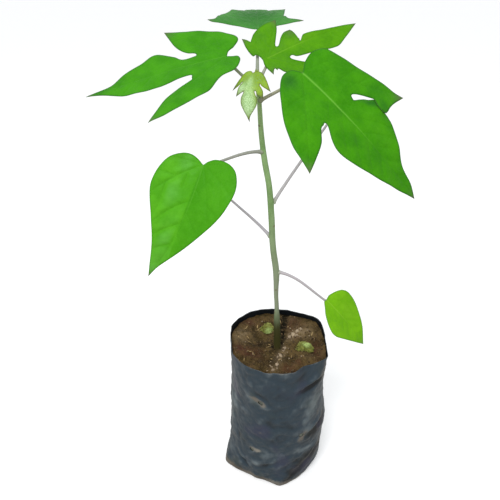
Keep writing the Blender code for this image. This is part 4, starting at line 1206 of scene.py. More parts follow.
def stalk_path(leaf):
    """From inside the stem's skin, out at the launch pitch, and up into the blade's joint."""
    middle, stem_radius = stem_at(leaf.stem_z)
    along, _, face = blade_frame(leaf)
    joint = Vector(leaf.joint) * MM + along * STALK_TIP
    toward = Vector((joint.x - middle.x, joint.y - middle.y, 0.0)).normalized()
    pitch = radians(leaf.launch)
    launch = toward * cos(pitch) + Vector((0, 0, sin(pitch)))
    start = middle + toward * (stem_radius + GAP + STALK_FOOT * abs(sin(pitch)))
    span = (joint - start).length
    arrive = ((joint - start) / span * (1 - leaf.tuck) + face * leaf.tuck).normalized()
    tilt = sqrt(1 - arrive.dot(face) ** 2)
    end = joint - face * (BLADE_THICK / 2 + GAP + STALK_TIP * tilt)
    path = interpolate_bezier(start, start + launch * span * leaf.spring,
                              end - arrive * span * leaf.spring, end, STALK_RINGS)
    root = start - launch * (GAP + 0.6 * stem_radius)
    return [root, (root + start) / 2] + path + [end.lerp(joint, 0.3), end.lerp(joint, 0.55)]


# Each stalk's own tone: green up in the crown, greyish mauve on the old leaves low down.
STALK_TONES = {
    "front_right": (160, 160, 136), "left": (150, 160, 126), "back_right": (142, 150, 124),
    "back": (130, 140, 118), "heart_left": (148, 150, 140), "low_right": (178, 172, 176),
    "shaded_left": (180, 174, 182), "shaded_right": (172, 168, 170), "young": (160, 176, 100),
}


def stalk_mesh(name, leaf):
    """A fine tube along the path, with a shallow channel on top and faint ribs."""
    path = stalk_path(leaf)
    lengths = np.concatenate([[0.0], np.cumsum([(b - a).length for a, b in zip(path, path[1:])])])
    total = lengths[-1]
    points, top_share, along_share = [], [], []
    for k, place in enumerate(path):
        ahead = (path[min(k + 1, len(path) - 1)] - path[max(k - 1, 0)]).normalized()
        side = ahead.cross(Vector((0.0, 0.0, 1.0)))
        side = side.normalized() if side.length > 1e-4 else Vector((1.0, 0.0, 0.0))
        up = side.cross(ahead)
        share = lengths[k] / total
        radius = STALK_PLUMP * (STALK_FOOT + (STALK_TIP - STALK_FOOT) * share ** 0.8)
        radius += STALK_FLARE[0] * np.exp(-lengths[k] / STALK_FLARE[1])
        radius += STALK_KNEE[0] * np.exp(-(total - lengths[k]) / STALK_KNEE[1])
        radius *= STALK_CLOSES[max(0, k - len(path) + 3)]
        for i in range(STALK_SIDES):
            turn = 2 * pi * i / STALK_SIDES
            channel = STALK_CHANNEL * radius * np.exp(-((turn - pi / 2) / 0.35) ** 2) * (1 - share)
            grain = noise.noise(Vector((cos(turn) * 2.5, sin(turn) * 2.5, lengths[k] * 160)) + place * 40)
            reach = radius - channel + STALK_GRAIN * grain
            points.append(tuple(place + side * (reach * cos(turn)) + up * (reach * sin(turn))))
            top_share.append(0.5 + 0.5 * sin(turn))
            along_share.append(share)
    own = np.tile(paint(*STALK_TONES[name])[:3], (len(points), 1))
    return smooth_mesh("leaf_stalk_" + name, points, tube_faces(0, len(path), STALK_SIDES),
                       top=top_share, along=along_share, own=own)


def stalk_finish():
    """Waxy skin in each stalk's own tone, with a pale waxy cast by patches, greener beneath and at the stem,
    and darker under the blade as painted shade.
    """
    mat, tree, shader = new_finish("stalk_skin", 0.45, 0.35)
    place = in_place(tree)
    own = add_node(tree, "ShaderNodeAttribute", attribute_name="own").outputs["Color"]
    tone = tone_patches(tree, place, 0.009, 0.5)
    along = stored(tree, "along")
    # From a third of the way along it darkens towards the blade: painted shade.
    colour = coated(tree, own, (graded(tree, along, 0.35, 1.0, 0.0, 0.28), (104, 106, 92)),
                    (times(tree, tone, 0.22), (176, 168, 172)),
                    (graded(tree, stored(tree, "top"), 0.40, 0.05, 0.0, 0.40), (118, 132, 96)),
                    (graded(tree, along, 0.06, 0.0, 0.0, 0.65), (142, 160, 112)))
    dress(tree, shader, colour, clouds(tree, place, 0.0009), 0.3, 0.00015,
          graded(tree, tone, 0.0, 1.0, 0.40, 0.52))
    return mat


stalk_skin = stalk_finish()
for name, leaf in LEAVES.items():
    leaf_stalk = new_piece("leaf_stalk_" + name, stalk_mesh(name, leaf), stalk_skin)
    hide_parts("stalk_" + name)


# ========================================================================================
# Leaf blades
# Thin soft blades, lobed on the newer leaves and heart-shaped on the old ones low down. Pale ribs
# run from the joint to every lobe, sunk in the upper face and raised beneath, with the tissue
# puffed a little between them and a slow wave along the margin.
# ========================================================================================

SHEET = 0.34 * MM                         # the tissue between the ribs
SHEET_EDGE = 0.22 * MM
RIB_STEP = 1.4 * MM
RIB_CROWD, GRID_CROWD = 0.34, 0.66        # how near points may lie, as a share of the grid's step
PUFF = 0.55 * MM                          # the tissue between ribs stands up this much
PUFF_REACH = 3.4 * MM
RIB_STOPS = 0.985                         # a main rib ends this share of the way to its lobe's tip
RIB_POINTS = 70                           # and no side rib has more points than this
RIB_GROUND = 0.92                         # it stops where another rib is this much nearer than its own
EAR_RIB_FROM, EAR_RIB_STEP, EAR_RIB_TO = 42, 37, 160      # ribs into the ears, in degrees
# Side ribs leave at an angle that falls along the main rib, bend forward, and get finer.
SIDE_RIB_ANGLE, SIDE_RIB_ANGLE_FALL, SIDE_RIB_BEND = 58, 14, 13.0
SIDE_RIB_FROM, SIDE_RIB_TO = 0.12, 0.93   # the stretch of the main rib that carries them
SIDE_RIB_WIDTH, SIDE_RIB_FINER = 0.34, 0.12       # half-width, and how much of it goes by the tip
SIDE_RIB_PACE = 0.55                      # left and right in turn, so a little over half the spacing
RIB_SUNK = 0.20 * MM
RIB_RAISED = 0.80 * MM
# How far quilting keeps from a rib and from the margin, and the patches that it comes in; the quilting is
# painted shade along the sunk ribs and painted highlight between them.
QUILT_REACH, QUILT_FROM_EDGE, QUILT_PATCH = 1.9 * MM, 9 * MM, 14 * MM
QUILT_PUFF = 2.2                          # a quilted half is puffed this much more
MARGIN_WAVE, MARGIN_WAVE_LENGTH, MARGIN_WAVE_REACH = 0.95 * MM, 13.0 * MM, 6.0 * MM
EDGE_REACH = 12.0                         # millimetres in from the margin that the finish can tell apart
WORN_TIP, WORN_TIP_LEAST = 0.055, 4.0     # a worn tip's reach as a share of the leaf's length, and at least

# A rib: its points in the flat blade, its half-width at each, and how strongly it shows.
Rib = namedtuple("Rib", "points widths strength")


def place_on_blade(leaf, flat):
    """Where flat points of a blade, u along and v to the left, lie in the plant."""
    along, across, face = (np.array(axis) for axis in blade_frame(leaf))
    u, v = flat[:, 0], flat[:, 1]
    length = leaf.length * MM
    bend = max(1e-6, radians(leaf.droop)) / length
    valley = leaf.fold * (np.sqrt(v * v + FOLD_SOFT ** 2) - FOLD_SOFT)
    rise = valley - leaf.sag * (u * u + v * v) / length
    turn = bend * u
    forward = np.sin(turn) / bend + rise * np.sin(turn)
    upward = (np.cos(turn) - 1) / bend + rise * np.cos(turn)
    base = np.array(leaf.joint) * MM
    return base + np.outer(forward, along) + np.outer(v, across) + np.outer(upward, face)


def blade_normals(leaf, flat):
    """The upper face's direction at each flat point."""
    nudge = 0.2 * MM
    here = place_on_blade(leaf, flat)
    ahead = place_on_blade(leaf, flat + (nudge, 0.0)) - here
    aside = place_on_blade(leaf, flat + (0.0, nudge)) - here
    normal = np.cross(ahead, aside)
    return normal / np.linalg.norm(normal, axis=1)[:, None]


def margin_knots(leaf):
    """The margin's knots in millimetres as (u, v, pointed), from the notch round and back."""
    knots = [(-leaf.notch, 0.0, True)]
    knots += [(-back, -out, False) for back, out in leaf.right_ear]
    for part in leaf.margin:
        c, s = cos(radians(part.angle)), sin(radians(part.angle))
        if isinstance(part, Bay):
            spots = ((part.depth + part.width, -part.width), (part.depth, 0.0),
                     (part.depth + part.width, part.width))
            knots += [(a * c - b * s, a * s + b * c, False) for a, b in spots]
            continue
        spots = [(share * part.reach, -half, False) for share, half in part.right]
        spots.append((part.reach, 0.0, True))
        spots += [(share * part.reach, half, False) for share, half in reversed(part.left)]
        knots += [(a * c - b * s, a * s + b * c, tip) for a, b, tip in spots]
    knots += [(-back, out, False) for back, out in reversed(leaf.left_ear)]
    return knots


def margin_points(leaf, step):
    """The margin as an even smooth line through its knots, sharp only at the pointed ones."""
    knots = margin_knots(leaf)
    count = len(knots)
    points = []
    for i in range(count):
        near, far = knots[i], knots[(i + 1) % count]
        before = near if near[2] else knots[i - 1]
        after = far if far[2] else knots[(i + 2) % count]
        p0, p1, p2, p3 = (Vector((k[0], k[1])) * MM for k in (before, near, far, after))
        chord = (p2 - p1).length
        start = (p2 - p1) if near[2] else (p2 - p0).normalized() * chord
        end = (p2 - p1) if far[2] else (p3 - p1).normalized() * chord
        pieces = max(2, round(chord / step))
        points += [cubic(p1, p2, start, end, n / pieces) for n in range(pieces)]
    return np.array(points)


def inside(points, outline):
    """Which flat points lie inside a closed outline."""
    a, b = outline, np.roll(outline, -1, axis=0)
    above = (a[None, :, 1] > points[:, None, 1]) != (b[None, :, 1] > points[:, None, 1])
    rise = np.where(a[:, 1] == b[:, 1], 1.0, b[:, 1] - a[:, 1])
    crossing = a[:, 0] + (b[:, 0] - a[:, 0]) * (points[:, None, 1] - a[:, 1]) / rise
    return (above & (points[:, None, 0] < crossing)).sum(1) % 2 == 1


def distance_to_line(points, line, widths=None):
    """How far flat points are from a line of points, and the line's width at the nearest spot."""
    a, b = line[:-1], line[1:]
    step = b - a
    share = ((points[:, None] - a) * step).sum(2) / np.maximum((step * step).sum(1), 1e-14)
    share = np.clip(share, 0.0, 1.0)
    away = np.linalg.norm(points[:, None] - (a + step * share[..., None]), axis=2)
    nearest = away.argmin(1)
    pick = np.arange(len(points))
    if widths is None:
        return away[pick, nearest]
    width = widths[:-1][nearest] + (widths[1:] - widths[:-1])[nearest] * share[pick, nearest]
    return away[pick, nearest], width


def lobes_of(leaf):
    """The lobes along a leaf's margin."""
    return [part for part in leaf.margin if isinstance(part, Lobe)]


def main_ribs(leaf):
    """One rib from the joint to each lobe's tip."""
    ribs, lobes = [], lobes_of(leaf)
    longest = max(lobe.reach for lobe in lobes)
    for lobe in lobes:
        share = np.linspace(0.0, RIB_STOPS, max(8, int(lobe.reach * MM / RIB_STEP)))
        bow = lobe.bow * share * (1 - share)
        c, s = cos(radians(lobe.angle)), sin(radians(lobe.angle))
        a, b = lobe.reach * MM * share, lobe.reach * MM * bow
        foot = (0.25 + 0.45 * lobe.reach / longest) * (leaf.length / 110) ** 0.4 * MM
        widths = foot * (1 - share) ** 0.8 + 0.16 * MM
        ribs.append(Rib(np.stack([a * c - b * s, a * s + b * c], -1), widths,
                        0.55 + 0.45 * lobe.reach / longest))
    return ribs


def side_rib(outline, parent, others, start, heading, turn_in, foot, strength):
    """One side rib that curves forward, and stops short of the margin or of another rib's ground."""
    points = [np.array(start)]
    while len(points) < RIB_POINTS:
        heading -= turn_in * RIB_STEP
        ahead = points[-1] + RIB_STEP * np.array([cos(heading), sin(heading)])
        if not inside(ahead[None], outline)[0]:
            break
        own = distance_to_line(ahead[None], parent.points)[0]
        if any(distance_to_line(ahead[None], rib.points)[0] < RIB_GROUND * own for rib in others):
            break
        points.append(ahead)
    if len(points) < 4:
        return None
    points = np.array(points[:-1])
    share = np.linspace(0.0, 1.0, len(points))
    return Rib(points, foot * (1 - share) ** 0.7 + 0.10 * MM, strength)


def blade_ribs(leaf, outline, spacing):
    """All ribs: the mains to the lobes, shorter ones into the ears, and side ribs off each in turn."""
    mains = main_ribs(leaf)
    angles = [lobe.angle for lobe in lobes_of(leaf)]
    for side in (1, -1):
        outermost = mains[angles.index(side * max(side * angle for angle in angles))]
        angle = max(side * a for a in angles) + EAR_RIB_FROM
        while angle < EAR_RIB_TO:
            rib = side_rib(outline, outermost, [], np.zeros(2), side * radians(angle),
                           side * (6.0 if angle < 90 else 0.0), 0.42 * MM, 0.60)
            if rib:
                mains.append(rib)
            angle += EAR_RIB_STEP
    ribs = list(mains)
    for parent in mains:
        others = [rib for rib in mains if rib is not parent]
        lengths = np.linalg.norm(np.diff(parent.points, axis=0), axis=1)
        lengths = np.concatenate([[0.0], np.cumsum(lengths)])
        total = lengths[-1]
        place = SIDE_RIB_FROM * total + 0.4 * spacing
        side = 1
        while place < SIDE_RIB_TO * total:
            k = int(np.searchsorted(lengths, place)) - 1
            step = parent.points[k + 1] - parent.points[k]
            start = parent.points[k] + step * (place - lengths[k]) / (lengths[k + 1] - lengths[k])
            leaves_at = radians(SIDE_RIB_ANGLE - SIDE_RIB_ANGLE_FALL * place / total)
            heading = np.arctan2(step[1], step[0]) + side * leaves_at
            rib = side_rib(outline, parent, others, start, heading, side * SIDE_RIB_BEND,
                           (SIDE_RIB_WIDTH - SIDE_RIB_FINER * place / total) * MM, 0.45)
            if rib:
                ribs.append(rib)
            place += SIDE_RIB_PACE * spacing
            side = -side
    return ribs


def rib_rows(rib):
    """Rows of points along a rib and to both sides of it, so that the mesh follows it."""
    ahead = np.gradient(rib.points, axis=0)
    ahead /= np.linalg.norm(ahead, axis=1)[:, None]
    aside = np.stack([-ahead[:, 1], ahead[:, 0]], -1)
    near = np.maximum(rib.widths, 0.45 * MM)[:, None]
    rows = [rib.points, rib.points + aside * near, rib.points - aside * near]
    if rib.widths[0] > 0.6 * MM:
        rows += [rib.points + aside * near * 1.9, rib.points - aside * near * 1.9]
    return np.vstack(rows)


def spaced_out(points, gaps):
    """Leave out each point that crowds one kept before it, by its own gap."""
    cell = float(gaps.max())
    cells, kept = {}, []
    for n, (u, v) in enumerate(points):
        column, row = int(u // cell), int(v // cell)
        if gaps[n] > 0 and any((u - points[k][0]) ** 2 + (v - points[k][1]) ** 2 < gaps[n] ** 2
                               for a in (-1, 0, 1) for b in (-1, 0, 1)
                               for k in cells.get((column + a, row + b), ())):
            continue
        cells.setdefault((column, row), []).append(n)
        kept.append(n)
    return points[kept]


def uneven(flat, size, shift):
    """Smooth noise over the flat blade, from -1 to 1, in bumps of about this size."""
    return np.array([noise.noise(Vector((u / size, v / size, shift))) for u, v in flat])


# Where one lobe lies over its neighbour: the slit between them, and the pulls that draw the upper
# lobe's edge over the other. That edge lifts clear, and the edge beneath it rolls down.
Pull = namedtuple("Pull", "u v along across reach")
Lap = namedtuple("Lap", "slit pulls tucks lift sink")
LAPS = {"front_right": Lap(
    ((36.6, 11.8), (40.8, 15.2), (43.8, 17.5), (46.4, 19.4), (49.5, 21.2), (53.5, 21.8), (57.9, 22.1),
     (61.8, 22.5), (66.0, 22.9), (90.0, 26.0)),
    (Pull(53.5, 23.0, 0.0, -1.9, 3.6), Pull(57.5, 23.2, 0.2, -2.0, 3.4), Pull(61.2, 24.2, 0.7, -2.2, 3.2)),
    (Pull(45.2, 15.2, 0.0, 1.5, 2.8), Pull(49.8, 18.8, 0.0, 3.3, 3.1), Pull(54.5, 20.4, 0.0, 2.6, 3.4)),
    0.8, 0.7)}

LAP_FREE = (1 * MM, 8 * MM)               # the lobes come free of each other this far past the slit's start
LAP_ENDS = (0.066, 0.074)                 # and lie flat again beyond this far from the joint
LAP_LIFT_REACH, LAP_SINK_REACH = 10 * MM, 3.5 * MM


def lapped(lap, flat):
    """The flat points drawn across the slit, and how far each is lifted or sunk."""
    slit = np.array(lap.slit) * MM
    beyond = flat[:, 1] - np.interp(flat[:, 0], slit[:, 0], slit[:, 1])
    free = ease(slit[0, 0] + LAP_FREE[0], slit[0, 0] + LAP_FREE[1], flat[:, 0])
    moved = flat.copy()
    for pulls, side in ((lap.pulls, beyond > 0), (lap.tucks, beyond <= 0)):
        for pull in pulls:
            away = np.hypot(flat[:, 0] - pull.u * MM, flat[:, 1] - pull.v * MM) / (pull.reach * MM)
            moved += np.outer(free * side * np.exp(-away ** 2), (pull.along * MM, pull.across * MM))
    rise = np.where(beyond > 0, lap.lift * np.exp(-(beyond / LAP_LIFT_REACH) ** 2),
                    -lap.sink * np.exp(-(beyond / LAP_SINK_REACH) ** 2))
    return moved, free * rise * MM * (1 - ease(*LAP_ENDS, flat[:, 0]))


# How plainly the middle rib and the other ribs show, how quilted the left and right halves are (in relief,
# and in painted shade and highlight), and how much deeper the right half is painted, as shade where the blade
# folds along its middle rib.
Show = namedtuple("Show", "middle others left right step")
RIB_SHOWS = {
    "front_right": Show(0.85, 0.14, 0.10, 0.10, 0), "left": Show(0.34, 0.14, 0.10, 0.10, 0),
    "back_right": Show(0.45, 0.16, 0.14, 0.14, 0), "back": Show(0.30, 0.16, 0.12, 0.12, 0),
    "heart_left": Show(0.30, 0.10, 0.44, 0.06, -0.50), "low_right": Show(0.50, 0.20, 0.14, 0.20, 0),
    "shaded_left": Show(0.60, 0.30, 0.20, 0.20, 0), "shaded_right": Show(0.60, 0.30, 0.20, 0.20, 0),
    "young": Show(0.45, 0.30, 0.10, 0.10, 0),
}


def blade_grid(loop, ribs, step):
    """The flat blade in triangles that follow its margin and its ribs."""
    outline = loop[:-1]
    rows = np.vstack([rib_rows(rib) for rib in ribs])
    grid = flat_grid(outline.min(0), outline.max(0), step)
    fill = np.vstack([rows, grid])
    gaps = np.concatenate([np.full(len(rows), RIB_CROWD * step), np.full(len(grid), GRID_CROWD * step)])
    clear = inside(fill, outline) & (distance_to_line(fill, loop) > gaps)
    points = spaced_out(np.vstack([outline, fill[clear]]),
                        np.concatenate([np.zeros(len(outline)), gaps[clear]]))
    spots, faces = filled(points, [(i, (i + 1) % len(outline)) for i in range(len(outline))])
    return np.array([tuple(p) for p in spots]), faces


def drawn_ribs(ribs, show, flat):
    """How far the ribs stand out and how plainly they show at flat points, and how far the nearest is."""
    vein, drawn, near = np.zeros(len(flat)), np.zeros(len(flat)), np.full(len(flat), 1.0)
    middle_rib = max(ribs, key=lambda rib: rib.strength * len(rib.points))
    for rib in ribs:
        away, width = distance_to_line(flat, rib.points, rib.widths)
        share = width / rib.widths[0]
        ridge = np.exp(-(away / np.maximum(width, 0.30 * MM)) ** 2)
        vein = np.maximum(vein, rib.strength * (0.35 + 0.65 * share) * ridge)
        plain = show.middle if rib is middle_rib else show.others
        drawn = np.maximum(drawn, plain * (0.15 + 0.85 * ease(0.50, 0.86, share)) * ridge)
        near = np.minimum(near, away)
    return vein, drawn, near


def worn_tips(leaf, flat):
    """How near flat points are to a lobe's tip, where old tissue dulls."""
    worn = np.zeros(len(flat))
    reach = max(WORN_TIP * leaf.length, WORN_TIP_LEAST) * MM
    for lobe in lobes_of(leaf):
        tip = lobe.reach * MM * np.array([cos(radians(lobe.angle)), sin(radians(lobe.angle))])
        worn = np.maximum(worn, np.exp(-(np.linalg.norm(flat - tip, axis=1) / reach) ** 2))
    return worn


def blade_mesh(name, leaf, step, spacing, washes):
    """Two skins over the flat outline, ribbed and puffed, joined round the margin."""
    outline = margin_points(leaf, step)
    loop = np.vstack([outline, outline[:1]])
    ribs = blade_ribs(leaf, outline, spacing)
    flat, faces = blade_grid(loop, ribs, step)
    edge = distance_to_line(flat, loop)
    show = RIB_SHOWS[name]
    vein, drawn, near = drawn_ribs(ribs, show, flat)
    shift = 3.0 * list(LEAVES).index(name)                # so that no two blades share their noise
    halves = np.where(flat[:, 1] < 0, show.left, show.right)
    # Painted shade along the sunk ribs and painted highlight on the puffed tissue between them.
    quilt_shading = halves * (0.35 - np.exp(-(near / QUILT_REACH) ** 2)) * ease(0.0, QUILT_FROM_EDGE, edge)
    quilt_shading = quilt_shading * np.clip(0.55 + 0.9 * uneven(flat, QUILT_PATCH, shift + 5), 0.0, 1.2)
    scale = min(1.0, leaf.length / 100)
    inner = 1 - np.exp(-edge / (2.5 * MM))
    puffed = PUFF * scale * (1 + QUILT_PUFF * halves) * (1 - np.exp(-near / PUFF_REACH))
    rise = puffed * inner * (0.8 + uneven(flat, 6 * MM, shift))
    rise += 0.10 * MM * uneven(flat, 2.4 * MM, shift + 1) * inner
    wave = MARGIN_WAVE * scale * uneven(flat, MARGIN_WAVE_LENGTH, shift + 2)
    rise += wave * np.exp(-edge / MARGIN_WAVE_REACH)
    placed = flat
    if name in LAPS:
        placed, lift = lapped(LAPS[name], flat)
        rise += lift
    surface = place_on_blade(leaf, placed)
    normal = blade_normals(leaf, placed)
    half = (SHEET_EDGE + (SHEET - SHEET_EDGE) * inner) / 2
    above = surface + normal * (rise + half - RIB_SUNK * vein)[:, None]
    below = surface + normal * (rise - half - RIB_RAISED * scale * vein ** 1.5)[:, None]
    count = len(flat)
    below_faces = [tuple(count + i for i in reversed(f)) for f in faces]
    used = {(f[i], f[(i + 1) % len(f)]) for f in faces for i in range(len(f))}
    rim = [(a, b) for a, b in used if (b, a) not in used]
    rim_faces = [(b, a, count + a, count + b) for a, b in sorted(rim)]
    painted_fold_shade = show.step * ease(-0.5 * MM, 0.5 * MM, flat[:, 1])
    wash = np.clip(np.clip(patched(washes, flat), -1.0, 1.0) + quilt_shading + painted_fold_shade, -1.0, 1.0)
    return smooth_mesh(
        "leaf_" + name, np.vstack([above, below]).tolist(), faces + below_faces + rim_faces,
        vein=np.concatenate([drawn, vein]), edge=np.tile(np.minimum(edge / MM, EDGE_REACH), 2),
        wash=np.tile(wash, 2), tip=np.tile(worn_tips(leaf, flat), 2), under=np.repeat([0.0, 1.0], count),
        flat=np.tile(np.column_stack([flat, np.full(count, shift * 0.01)]), (2, 1)))


def leaf_net_group():
    """The net of small veins between the ribs: its lines, and the puffed cells that it leaves."""
    group, given, result = new_group("leaf_net", [("Flat", "NodeSocketVector", None),
                                                 ("Cell", "NodeSocketFloat", 0.0026)], ["Net", "Height"])
    warp = add_node(group, "ShaderNodeTexNoise", {"Vector": given.outputs["Flat"], "Scale": 260.0,
                                                 "Detail": 2.0}).outputs["Color"]
    moved = add_node(group, "ShaderNodeVectorMath", {0: warp, 1: (0.0022, 0.0022, 0.0)},
                     operation="MULTIPLY").outputs[0]
    place = add_node(group, "ShaderNodeVectorMath", {0: given.outputs["Flat"], 1: moved}).outputs[0]
    scale = worked_out(group, "DIVIDE", 1.0, given.outputs["Cell"])
    cells = (add_node(group, "ShaderNodeTexVoronoi", {"Vector": place, "Scale": times(group, scale, finer)},
                      feature="DISTANCE_TO_EDGE").outputs["Distance"] for finer in (1.0, 2.7))
    coarse, fine = (graded(group, away, 0.14, 0.01) for away in cells)
    net = worked_out(group, "MAXIMUM", coarse, times(group, fine, 0.45))
    group.links.new(net, result.inputs["Net"])
    height = worked_out(group, "SUBTRACT", 1.0, plus(group, coarse, times(group, fine, 0.4)))
    group.links.new(height, result.inputs["Height"])
    return group


LEAF_NET = leaf_net_group()


def leaf_finish(name, tones, cell, net_shows):
    """Two greens by patches, lighter and darker by spots that carry painted sheen and shade, pale ribs and
    net, a dark margin, and a paler matt underside.
    """
    mat, tree, shader = new_finish("leaf_" + name, 0.5, 0.06)
    deep, fresh, light, dark, rib = tones
    flat = add_node(tree, "ShaderNodeAttribute", attribute_name="flat").outputs["Vector"]
    tone = tone_patches(tree, flat, 0.016, 0.28)
    net = placed_group(tree, LEAF_NET, {"Flat": flat, "Cell": cell})
    wash = stored(tree, "wash")
    edge, vein = stored(tree, "edge"), stored(tree, "vein")
    worn = times(tree, stored(tree, "tip"), graded(tree, clouds(tree, flat, 0.004), 0.2, 0.5))
    under = graded(tree, stored(tree, "under"), 0.35, 0.65)
    back = coated(tree, mixed(tree, 0.50, fresh, (158, 194, 122)),
                  (graded(tree, vein, 0.08, 0.9), (192, 208, 146)),
                  (times(tree, net["Net"], 0.35), (180, 202, 138)))
    colour = coated(tree, mixed(tree, tone, deep, fresh),
                    (graded(tree, wash, 0.0, 1.0), light), (graded(tree, wash, 0.0, -1.0), dark),
                    (graded(tree, clouds(tree, flat, 0.0014, 4.0, 0.6), 0.35, 0.75, 0.0, 0.06), dark),
                    (times(tree, net["Net"], net_shows), rib),
                    (graded(tree, vein, 0.04, 0.90, 0.0, 0.80), rib),
                    (graded(tree, edge, 1.7, 0.0, 0.0, 0.45), dark),
                    (graded(tree, edge, 0.50, 0.0, 0.0, 0.34), (74, 66, 66)),
                    (times(tree, worn, 0.75), (92, 96, 72)), (under, back))
    matt = plus(tree, graded(tree, tone, 0.0, 1.0, 0.38, 0.50), times(tree, under, 0.25), clamp=True)
    height = plus(tree, times(tree, net["Height"], 0.75),
                  times(tree, clouds(tree, in_place(tree), 0.0005, 2.0), 0.25))
    dress(tree, shader, colour, height, 0.35, 0.00022, matt)
    return mat


# Each blade's greens: deep, fresh, light wash, dark wash, and its ribs. The washes also carry painted sheen
# and painted shade.
BLADE_TONES = {
    "front_right": ((48, 124, 2), (61, 139, 3), (88, 168, 22), (32, 94, 26), (108, 174, 60)),
    "left": ((52, 129, 10), (63, 143, 14), (94, 172, 44), (40, 100, 32), (100, 170, 56)),
    "back_right": ((64, 130, 4), (79, 146, 6), (120, 178, 28), (48, 110, 18), (126, 180, 48)),
    "back": ((56, 122, 46), (72, 138, 58), (112, 156, 100), (36, 98, 32), (98, 152, 82)),
    "heart_left": ((72, 154, 20), (85, 168, 28), (114, 188, 90), (52, 132, 6), (118, 188, 70)),
    "low_right": ((98, 161, 12), (114, 177, 18), (140, 192, 44), (72, 130, 22), (148, 194, 60)),
    "shaded_left": ((58, 128, 20), (72, 144, 24), (98, 164, 50), (40, 98, 30), (140, 184, 98)),
    "shaded_right": ((56, 126, 20), (70, 142, 24), (96, 162, 50), (38, 96, 30), (138, 182, 98)),
    "young": ((112, 142, 16), (150, 184, 22), (204, 236, 182), (96, 92, 34), (124, 164, 92)),
}
# Where a blade is lighter, or (below zero) deeper, than its general tone: partly its own tissue, partly
# painted sheen and painted shadow.
BLADE_WASHES_AND_PAINTED_LIGHT = {
    "front_right": ((-2, -14, 10, 9, 0, -0.68), (26, -30, 24, 4.5, -50, 0.26),
                    (-4, -22, 16, 3.0, -62, 0.28), (66, 8, 24, 9, 0, 0.30),
                    (104, -12, 16, 9, 0, -0.10), (46, 30, 14, 6, 30, -0.30),
                    # a painted shadow under the edge of the lobe that laps over, and painted shade along that
                    # edge
                    (50, 17.0, 11, 2.0, 27, -0.85), (57, 25.5, 7, 2.2, 0, -0.55),
                    (60, -12, 16, 4.0, 10, -0.25)),
    "left": ((40, 2, 26, 8, 0, 0.14), (96, -3, 16, 6, 0, -0.45), (50, 34, 22, 6, 36, -0.25),
             (46, -12, 26, 4, -8, -0.08)),
    "back_right": ((30, 2, 24, 7, 0, 0.30), (14, -22, 14, 6, -45, -0.25)),
    "back": ((30, 0, 30, 26, 0, -0.75), (40, 34, 14, 7, 40, 0.45), (40, -34, 14, 7, -40, 0.45)),
    # the lighter washes on the half below zero are painted sheen
    "heart_left": ((3, -12, 10, 7, 0, 0.36), (31, -14, 9, 6, 0, 0.30), (14, -27, 12, 6, 0, -0.20),
                   (70, -10, 26, 7, -10, 0.20), (84, 0, 22, 9, 0, 0.20), (16, 4, 14, 5, 0, -0.16),
                   (98, -11, 10, 6, 0, 0.35)),
    "low_right": ((26, 8, 18, 10, 0, 0.30), (50, 0, 10, 12, 0, -0.25)),
    "shaded_left": ((24, 0, 20, 14, 0, 0.20),),
    "shaded_right": ((24, 0, 20, 14, 0, 0.20),),
    "young": ((27, 0, 15, 6.5, 0, 1.0), (14, -8, 6, 4, -26, 0.8), (8, 0, 5, 2, 0, 0.4),
              (15, -15, 6, 4, -48, -0.8), (20, 9, 5, 3, 28, -0.25), (40, 0, 4, 3, 0, -0.7)),
}

# How far apart the side ribs leave a middle rib, in millimetres.
RIB_SPACING = {"front_right": 12.0, "left": 12.0, "heart_left": 18.0, "young": 5.0}
OTHER_RIB_SPACING = 8.0

# Between the mesh's points, in millimetres, on the youngest blade, small ones and large ones.
YOUNG_STEP, SMALL_STEP, LARGE_STEP, LARGE_FROM = 0.55, 1.0, 1.25, 90
# The cells of a blade's net, and how plainly it shows: fine and plain on the youngest.
YOUNG_NET, GROWN_NET = (0.0015, 0.75), (0.0021, 0.06)

for name, leaf in LEAVES.items():
    young = name == "young"
    step = YOUNG_STEP if young else SMALL_STEP if leaf.length < LARGE_FROM else LARGE_STEP
    spacing = RIB_SPACING.get(name, OTHER_RIB_SPACING)
    mesh = blade_mesh(name, leaf, step * MM, spacing * MM, BLADE_WASHES_AND_PAINTED_LIGHT[name])
    finish = leaf_finish(name, BLADE_TONES[name], *(YOUNG_NET if young else GROWN_NET))
    blade = new_piece("leaf_blade_" + name, mesh, finish)
    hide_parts("blade_" + name)


# ========================================================================================
# Growing tip
# Three furled leaves stand at the top of the stem, each pleated round its own stalk like a
# closed umbrella. They are soft, pale green and no longer than a fingernail.
# ========================================================================================

# A furled leaf: where it points, how far it leans out, its length and thickness in millimetres.
Bud = namedtuple("Bud", "turn lean length radius")
BUDS = (Bud(150, 34, 3.6, 0.95), Bud(20, 50, 3.2, 0.85), Bud(-95, 44, 2.8, 0.70))
BUD_SUNK = 1.2 * MM                       # they start this far inside the stem's end
BUD_SIDES = 30
BUD_RINGS = 26


